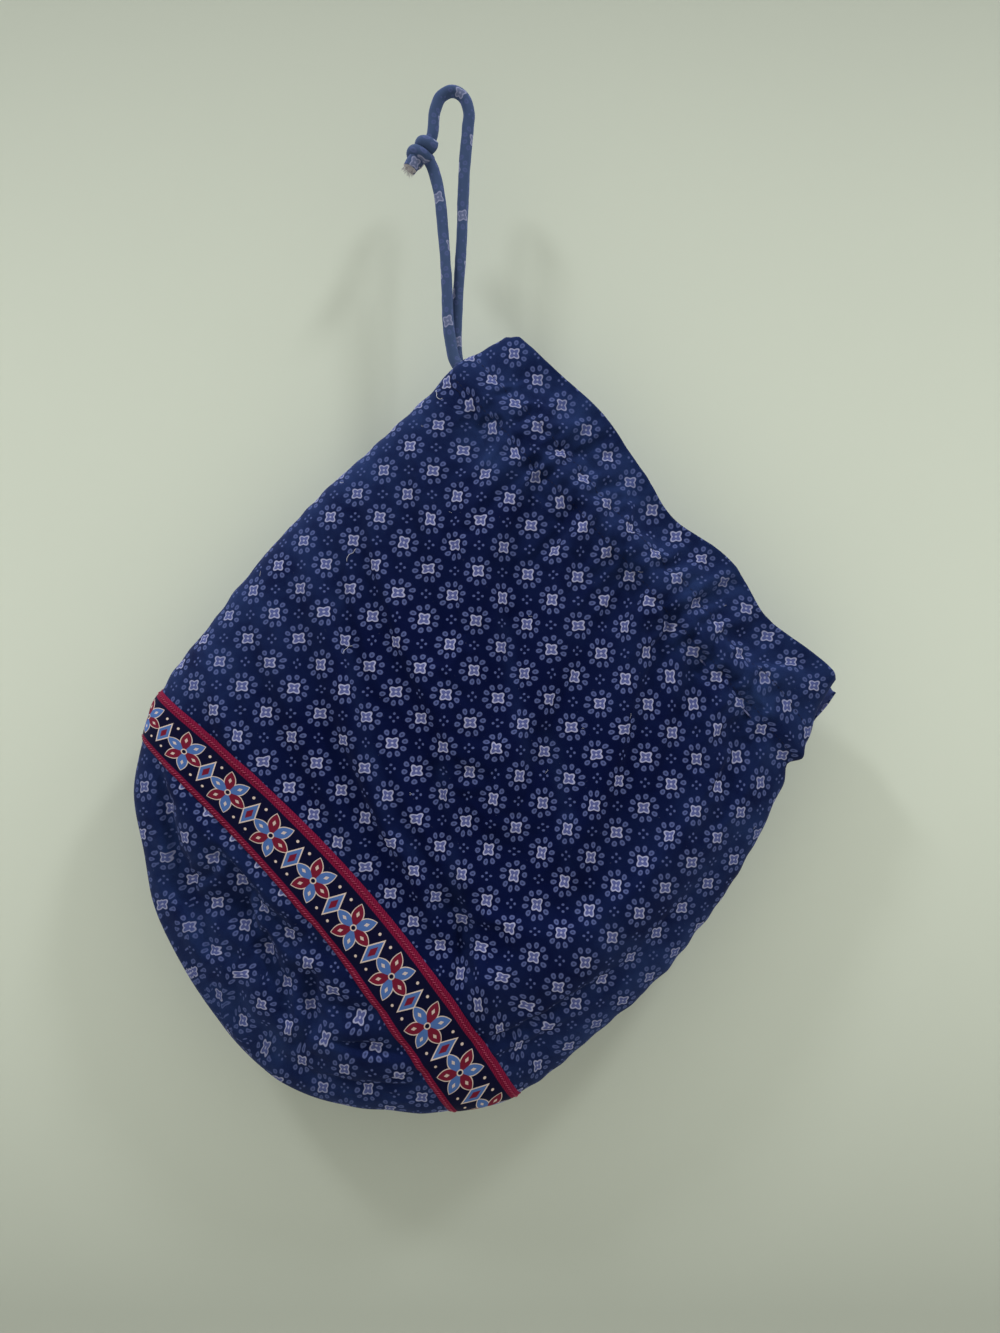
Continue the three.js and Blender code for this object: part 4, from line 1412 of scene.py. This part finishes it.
class BAG_OT_drawstring(bpy.types.Operator):
    """Make the drawstring: the length in the casing and the two free strands."""
    bl_idname = "bag.make_drawstring"
    bl_label = "Make Drawstring"

    def execute(self, context):
        settings = context.scene.bag_cord
        material = cord_cotton(context)
        back_run = [(across, -away) for across, away in reversed(CASING_FRONT_RUN)]
        run = [*CASING_FRONT_RUN, CASING_TURN, *back_run]
        run = np.array([(across, away, -CASING_DOWN) for across, away in run])
        routes = {
            "drawstring_long": np.array(LONG_STRAND) * MM,
            "drawstring_short": np.array(SHORT_STRAND) * MM,
            "drawstring_casing": to_world(run),
        }
        for seed, (node, points) in enumerate(routes.items()):
            route = smooth_route(points, settings.step)
            radii = fabric_tube_radii(route, settings.diameter, settings.sides, SEEDS["strands"] + seed)
            name = node.replace("drawstring", "cord")
            tube = tube_mesh(route, radii, settings.sides, STRAND_PRINT_SHIFT * seed)
            cord = mesh_piece(name, *tube, [material])
            dress(cord, "cord_cotton", node)
        return {"FINISHED"}


def frayed_end(points, radius, random):
    """Loose fibres that stand out of the cut end of a tail."""
    end, along = points[-1], unit_vectors(points[-1] - points[-2])
    aside = unit_vectors(np.cross(along, [0, 1, 0]))
    toward = np.cross(along, aside)
    fibres = []
    for _ in range(FRAY_COUNT):
        angle = random.uniform(0, 2 * math.pi)
        spread = radius * random.uniform(*FRAY_PLACE_SHARES)
        outward = math.cos(angle) * aside + math.sin(angle) * toward
        length = FRAY_LENGTH * MM * random.uniform(*FRAY_LENGTH_SHARES)
        start = end - along * MM + outward * spread
        middle = start + along * (length / 2 + MM) + outward * length * FRAY_LEAN
        tip = middle + along * length / 2 + outward * length * random.uniform(0, FRAY_MOST_CURL)
        route = smooth_route([start, middle, tip], length / 5)
        fibres.append(tube_mesh(route, np.full((len(route), 4), FRAY_RADIUS * MM), 4))
    return fibres


class BAG_OT_knot(bpy.types.Operator):
    """Tie the two ends of the drawstring together."""
    bl_idname = "bag.make_knot"
    bl_label = "Make Knot"

    def execute(self, context):
        settings = context.scene.bag_cord
        start, end = np.array(KNOT_WRAP_START), np.array(KNOT_WRAP_END)
        axis = unit_vectors(end - start)
        aside = unit_vectors(np.cross(axis, [0, 1, 0]))
        toward = np.cross(axis, aside)
        share = np.linspace(0, 1, 60)[:, None]
        angle = share * KNOT_WRAP_TURNS * 2 * np.pi + KNOT_WRAP_FROM
        wrap = start + (end - start) * share
        wrap = wrap + KNOT_WRAP_RADIUS * (np.cos(angle) * aside + np.sin(angle) * toward)
        before, after = KNOT_CORE_PAST
        core = [start - before * axis, start, (start + end) / 2, end, end + after * axis]
        tubes = []
        cut_faces = []
        random = np.random.default_rng(SEEDS["fraying"])
        for seed, points in enumerate((wrap, core, *KNOT_TAILS)):
            route = smooth_route(np.array(points) * MM, settings.step * KNOT_STEP)
            swollen = settings.diameter * KNOT_SWELL
            radii = fabric_tube_radii(route, swollen, settings.sides, SEEDS["knot"] + seed)
            tube = tube_mesh(route, radii, settings.sides, KNOT_PRINT_SHIFT * seed)
            tubes.append(tube)
            cut = np.zeros(len(tube[1]), dtype=int)
            cut[-settings.sides:] = 1
            cut_faces.append(cut)
        for points in KNOT_TAILS:
            for fibre in frayed_end(np.array(points) * MM, settings.diameter * KNOT_SWELL / 2, random):
                tubes.append(fibre)
                cut_faces.append(np.ones(len(fibre[1]), dtype=int))
        printed = cord_cotton(context)
        frayed = thread_material(*FRAYED_THREAD)
        knot = mesh_piece("tied_knot", *joined(tubes), [printed, frayed], np.concatenate(cut_faces))
        dress(knot, "cord_cotton", "knot")
        return {"FINISHED"}


class BAG_OT_panels(bpy.types.Operator):
    """Make the front and back panels of the bag."""
    bl_idname = "bag.make_panels"
    bl_label = "Make Panels"

    def execute(self, context):
        cloth = context.scene.bag_cloth
        printed = right_side_cotton(context)
        wrong_side = wrong_side_cotton(context)
        rows = cloth_rows(MOUTH_ROW, BOTTOM_ROW, cloth.step)
        shares = np.linspace(-1, 1, cloth.columns)
        for side, name in SIDE_NAMES.items():
            surface = ClothSurface(side, rows, shares, fine=cloth)
            surface.points = surface.points + settling(side, cloth, rows, shares)
            SURFACES[side] = surface
            panel = cloth_piece(
                f"{name}_cloth", surface, surface.points, surface.fabric, [printed, wrong_side])
            mark_wear_and_edge_light(panel, surface, shares)
            thicken(panel, cloth.thickness, -1)
            dress(panel, "printed_cotton", f"{name}_panel")
        return {"FINISHED"}


class BAG_OT_border(bpy.types.Operator):
    """Make the border bands that are sewn on near the bottom."""
    bl_idname = "bag.make_border"
    bl_label = "Make Border"

    def execute(self, context):
        cloth = context.scene.bag_cloth
        border = context.scene.bag_border
        material = border_cotton(border)
        for side, name in SIDE_NAMES.items():
            surface = SURFACES[side]
            chosen = (surface.rows >= BAND_TOP_ROW) & (surface.rows <= BAND_BOTTOM_ROW)
            share = surface.rows[chosen] - BAND_TOP_ROW
            lift = (BAND_LIFT + BAND_CROWN * np.sqrt(np.sin(np.pi * np.clip(share, 0, 1)))) * MM
            points = surface.points[chosen] + surface.normals[chosen] * lift[:, None, None]
            fabric = surface.fabric[chosen].copy()
            fabric[..., 1] = (share * border.width)[:, None]
            band = cloth_piece(f"{name}_border", surface, points, fabric, [material])
            thicken(band, cloth.band_thickness, 0)
            dress(band, "border_cotton", f"border_band_{name}")
        return {"FINISHED"}


class BAG_OT_casing(bpy.types.Operator):
    """Make the turned-in strips that close the cord's channel inside the mouth."""
    bl_idname = "bag.make_casing"
    bl_label = "Make Casing"

    def execute(self, context):
        cloth = context.scene.bag_cloth
        wrong_side = wrong_side_cotton(context)
        rows = np.linspace(CASING_TOP_ROW, CASING_BOTTOM_ROW, STRIP_ROWS)
        shares = np.linspace(-STRIP_REACH, STRIP_REACH, STRIP_COLUMNS)
        for side, name in SIDE_NAMES.items():
            surface = ClothSurface(side, rows, shares)
            arch = np.sin(np.pi * (rows - CASING_TOP_ROW) / (CASING_BOTTOM_ROW - CASING_TOP_ROW)) ** 0.5
            inset = (STRIP_INSET + STRIP_ARCH * arch) * MM
            points = surface.points - surface.normals * inset[:, None, None]
            strip = cloth_piece(f"casing_strip_{name}", surface, points, surface.fabric, [wrong_side])
            thicken(strip, cloth.thickness * STRIP_THICKNESS, 0)
            dress(strip, "printed_cotton", f"casing_{name}")
        return {"FINISHED"}


def one_stitch():
    """A stitch modelled once: a round bead drawn out along the seam. Gives its points and faces."""
    bpy.ops.object.select_all(action="DESELECT")
    bpy.ops.mesh.primitive_uv_sphere_add(segments=6, ring_count=4, radius=0.5, location=(0, 0, 0))
    bead = bpy.context.object
    bpy.ops.object.mode_set(mode="EDIT")
    bpy.ops.mesh.select_all(action="SELECT")
    bpy.ops.transform.rotate(value=math.pi / 2, orient_axis="Y", center_override=(0, 0, 0))
    bpy.ops.transform.resize(value=(STITCH_LENGTH * MM, STITCH_WIDTH * MM, STITCH_HEIGHT * MM))
    bpy.ops.object.mode_set(mode="OBJECT")
    points = np.array([vertex.co[:] for vertex in bead.data.vertices])
    # The ball's faces come in an order that varies from run to run, so they are sorted.
    faces = sorted(list(polygon.vertices) for polygon in bead.data.polygons)
    mesh = bead.data
    bpy.data.objects.remove(bead)
    bpy.data.meshes.remove(mesh)
    return points, faces


def stitch_line(stitch, places, normals, seed, pitch=STITCH_PITCH, slant=0.0):
    """Copies of the stitch along a line on the cloth, slanted to it, and each a little out of true."""
    points, faces = stitch
    random = np.random.default_rng(seed)
    along = run_length(places)
    spots = np.arange(pitch, along[-1] / MM - pitch, pitch) * MM
    spots = spots + random.normal(0, STITCH_SHIFT * MM, len(spots))
    at = rows_at(spots, along, places)
    up = unit_vectors(rows_at(spots, along, normals))
    forward = rows_at(spots, along, np.gradient(places, axis=0))
    forward = unit_vectors(forward - up * (forward * up).sum(1, keepdims=True))
    aside = np.cross(up, forward)
    forward = unit_vectors(forward + aside * random.normal(slant, STITCH_TILT, (len(spots), 1)))
    aside = np.cross(up, forward)
    placed = at[:, None] + (points[:, :1] * forward[:, None] + points[:, 1:2] * aside[:, None]
                            + points[:, 2:] * up[:, None])
    flat = [np.zeros((sum(len(face) for face in faces), 2))] * len(spots)
    return joined([(copy, faces, fabric) for copy, fabric in zip(placed, flat)])


class BAG_OT_stitches(bpy.types.Operator):
    """Sew the lines along the border bands and the cord's channel."""
    bl_idname = "bag.make_stitches"
    bl_label = "Make Stitches"

    def execute(self, context):
        border = context.scene.bag_border
        crimson = thread_material("crimson_thread", border.thread, CRIMSON_THREAD_PALE)
        navy = thread_material(*NAVY_THREAD)
        stitch = one_stitch()
        for side, name in SIDE_NAMES.items():
            surface = SURFACES[side]
            lines = []
            for seed, row in enumerate(BORDER_STITCH_ROWS):
                places, normals = surface.line(row)
                lifted = places + normals * BORDER_STITCH_LIFT * MM
                lines.append(stitch_line(
                    stitch, lifted, normals, SEEDS["border_stitches"] + seed,
                    BORDER_STITCH_PITCH, BORDER_STITCH_SLANT))
            sewn = mesh_piece(f"{name}_border_stitches", *joined(lines), [crimson])
            dress(sewn, "border_cotton")

            lines = []
            for seed, row in enumerate(CASING_STITCH_ROWS):
                places, normals = [values[CASING_STITCH_ENDS] for values in surface.line(row)]
                lines.append(stitch_line(stitch, places, normals, SEEDS["casing_stitches"] + seed))
            sewn = mesh_piece(f"{name}_casing_stitches", *joined(lines), [navy])
            dress(sewn, "printed_cotton")
        return {"FINISHED"}


def loose_thread(surface, normals, index, length, radius, random):
    """A curled bit of thread that lies on the cloth, from a point of its grid."""
    row, column = index
    row_size = np.linalg.norm(surface.points[row + 1, column] - surface.points[row, column])
    column_size = np.linalg.norm(surface.points[row, column + 1] - surface.points[row, column])
    place = np.array([row, column], dtype=float)
    last = np.array(surface.points.shape[:2]) - 2
    heading = random.uniform(0, 2 * math.pi)
    places = []
    stride = length * MM / THREAD_STRIDES
    for _ in range(THREAD_STRIDES):
        heading += random.normal(0, THREAD_CURL)
        place = place + [math.cos(heading) * stride / row_size, math.sin(heading) * stride / column_size]
        place = np.clip(place, 0, last)
        (low, left), (down, right) = place.astype(int), place % 1
        corners = surface.points[low:low + 2, left:left + 2]
        upper = corners[0, 0] * (1 - right) + corners[0, 1] * right
        lower = corners[1, 0] * (1 - right) + corners[1, 1] * right
        places.append(upper * (1 - down) + lower * down + normals[low, left] * radius * MM)
    route = smooth_route(np.array(places), length * MM / 14)
    return tube_mesh(route, np.full((len(route), 5), radius * MM), 5)


class BAG_OT_threads(bpy.types.Operator):
    """Scatter the few loose threads and bits of lint that cling to the cotton."""
    bl_idname = "bag.make_threads"
    bl_label = "Make Threads"

    def execute(self, context):
        pale = thread_material(*PALE_THREAD)
        navy = thread_material(*NAVY_THREAD)
        random = np.random.default_rng(SEEDS["threads"])
        for side, name in SIDE_NAMES.items():
            surface = SURFACES[side]
            normals = surface.normals
            row_count, column_count = surface.points.shape[:2]
            bits = {"pale": [], "navy": []}
            for across, down, length, colour in LOOSE_THREADS if side == FRONT else []:
                off = np.hypot(surface.places[..., 0] - across, surface.places[..., 2] + down)
                index = np.unravel_index(off.argmin(), off.shape)
                bits[colour].append(loose_thread(surface, normals, index, length, THREAD_RADIUS, random))
            for _ in range(LINT_COUNT):
                row = random.integers(LINT_EDGE, row_count - LINT_BOTTOM_EDGE)
                index = row, random.integers(LINT_EDGE, column_count - LINT_EDGE)
                length = random.uniform(*LINT_LENGTHS)
                bits["pale"].append(loose_thread(surface, normals, index, length, LINT_RADIUS, random))
            for colour, material in (("pale", pale), ("navy", navy)):
                if bits[colour]:
                    lint = mesh_piece(f"{name}_{colour}_threads", *joined(bits[colour]), [material])
                    dress(lint, "printed_cotton")
        return {"FINISHED"}


def stage_material(name, colour, is_backdrop):
    """A pale surface with faint patches. The backdrop has painted shade, darker above and below one height
    near the bag's middle, and is clear from behind.
    """
    material, tree, shader = new_material(name)
    object_place = tree.nodes.new("ShaderNodeTexCoord").outputs["Object"]
    mottle = noise_number(tree, object_place, STAGE_MOTTLE_SCALE, 3)
    surface = mixed(tree, mottle, colour, dimmed(colour, STAGE_MOTTLE))
    if is_backdrop:
        # Painted shade: the backdrop is darkened above and below the height where it is palest.
        _, _, height = split_vector(tree, object_place)
        off_lit_height = (height - BACKDROP_LIT_HEIGHT) / BACKDROP_SHADE_REACH
        surface = mixed(tree, (off_lit_height * off_lit_height).held(), surface, dimmed(colour, BACKDROP_DEEPEST_SHADE))
    tree.links.new(surface, shader.inputs["Base Color"])
    shader.inputs["Roughness"].default_value = 0.9
    shader.inputs["Specular IOR Level"].default_value = 0.1
    if is_backdrop:
        clear = tree.nodes.new("ShaderNodeBsdfTransparent")
        either = tree.nodes.new("ShaderNodeMixShader")
        back = tree.nodes.new("ShaderNodeNewGeometry").outputs["Backfacing"]
        tree.links.new(back, either.inputs[0])
        tree.links.new(shader.outputs[0], either.inputs[1])
        tree.links.new(clear.outputs[0], either.inputs[2])
        tree.links.new(either.outputs[0], tree.nodes["Material Output"].inputs["Surface"])
    return material


def stage_plane(name, location, rotation, material):
    """One flat square of the stage."""
    bpy.ops.object.select_all(action="DESELECT")
    bpy.ops.mesh.primitive_plane_add(size=STAGE_SIZE, location=location, rotation=rotation)
    plane = bpy.context.object
    plane.name = name
    bpy.ops.object.transform_apply()
    plane.data.materials.append(material)
    return plane


def soft_room(settings):
    """Pale light, less of it from straight in front and from below. It looks plain to the camera."""
    world = bpy.data.worlds.new("soft_room")
    world.use_nodes = True
    tree = world.node_tree
    direction = tree.nodes.new("ShaderNodeTexCoord").outputs["Generated"]
    _, away, up = split_vector(tree, direction)
    in_front = ((away * -1.0 - FRONT_SHADE_FROM) / FRONT_SHADE_EDGE).held()
    below = (up * -0.5 + 0.5).held()
    shade = mixed(tree, in_front * settings.front_shade, ROOM_LIGHT, ROOM_DARK)
    shade = mixed(tree, below * settings.low_shade, shade, ROOM_DARK)
    seen = tree.nodes.new("ShaderNodeLightPath").outputs["Is Camera Ray"]
    plain = dimmed(ROOM_SEEN, 1 / settings.world_strength)
    sight = mixed(tree, Number(tree, seen), shade, plain)
    sky = tree.nodes["Background"]
    tree.links.new(sight, sky.inputs["Color"])
    sky.inputs["Strength"].default_value = settings.world_strength
    return world


class BAG_OT_stage(bpy.types.Operator):
    """Set up the pale floor and backdrop and the soft lights."""
    bl_idname = "bag.make_stage"
    bl_label = "Make Stage"

    def execute(self, context):
        settings = context.scene.bag_stage
        floor_place = (0, 0, settings.floor_height)
        floor_look = stage_material("pale_floor", settings.floor, False)
        floor = stage_plane("floor", floor_place, (0, 0, 0), floor_look)
        backdrop_place = (0, settings.backdrop_depth, 0)
        backdrop_look = stage_material("pale_backdrop", settings.backdrop, True)
        backdrop = stage_plane("backdrop", backdrop_place, (math.pi / 2, 0, 0), backdrop_look)
        backdrop.visible_shadow = False
        backdrop.visible_diffuse = False
        backdrop.visible_glossy = False

        for (name, side), (place, away, share) in itertools.product(
                (("left", -1), ("right", 1)), LIGHT_PLACES):
            direction = unit_vectors(np.array(LIGHT_DIRECTION) * (side, away, 1))
            lamp = bpy.data.lights.new(f"light_{place}_{name}", "AREA")
            lamp.shape = "DISK"
            lamp.size = LIGHT_SIZE
            lamp.energy = settings.key_power * share
            holder = bpy.data.objects.new(lamp.name, lamp)
            holder.location = LIGHT_AIM + direction * LIGHT_DISTANCE
            holder.rotation_euler = Vector(direction).to_track_quat("Z", "Y").to_euler()
            context.scene.collection.objects.link(holder)
        context.scene.world = soft_room(settings)
        context.scene.view_settings.view_transform = "Standard"
        return {"FINISHED"}


SETTINGS = {
    "bag_cloth": BagClothSettings,
    "bag_print": BagPrintSettings,
    "bag_border": BagBorderSettings,
    "bag_cord": BagCordSettings,
    "bag_stage": BagStageSettings,
}
OPERATORS = (
    BAG_OT_camera, BAG_OT_knot, BAG_OT_drawstring, BAG_OT_panels, BAG_OT_border, BAG_OT_casing,
    BAG_OT_stitches, BAG_OT_threads, BAG_OT_stage,
)


class BAG_PT_tools(bpy.types.Panel):
    """Lists the bag's pieces in the order that they are made."""
    bl_idname = "BAG_PT_tools"
    bl_label = "Drawstring Bag"
    bl_space_type = "VIEW_3D"
    bl_region_type = "UI"
    bl_category = "Bag"

    def draw(self, context):
        for operator in OPERATORS:
            self.layout.operator(operator.bl_idname)
        for settings in SETTINGS:
            group = getattr(context.scene, settings)
            for name in group.bl_rna.properties.keys():
                if name not in ("rna_type", "name"):
                    self.layout.prop(group, name)


CLASSES = (*SETTINGS.values(), *OPERATORS, BAG_PT_tools)


def register():
    for each in CLASSES:
        bpy.utils.register_class(each)
    for name, settings in SETTINGS.items():
        setattr(bpy.types.Scene, name, PointerProperty(type=settings))


def unregister():
    for name in SETTINGS:
        delattr(bpy.types.Scene, name)
    for each in reversed(CLASSES):
        bpy.utils.unregister_class(each)


def main():
    register()
    bpy.ops.bag.place_camera()
    bpy.ops.bag.make_knot()
    bpy.ops.bag.make_drawstring()
    bpy.ops.bag.make_panels()
    bpy.ops.bag.make_border()
    bpy.ops.bag.make_casing()
    bpy.ops.bag.make_stitches()
    bpy.ops.bag.make_threads()
    bpy.ops.bag.make_stage()


if __name__ == "__main__":
    main()
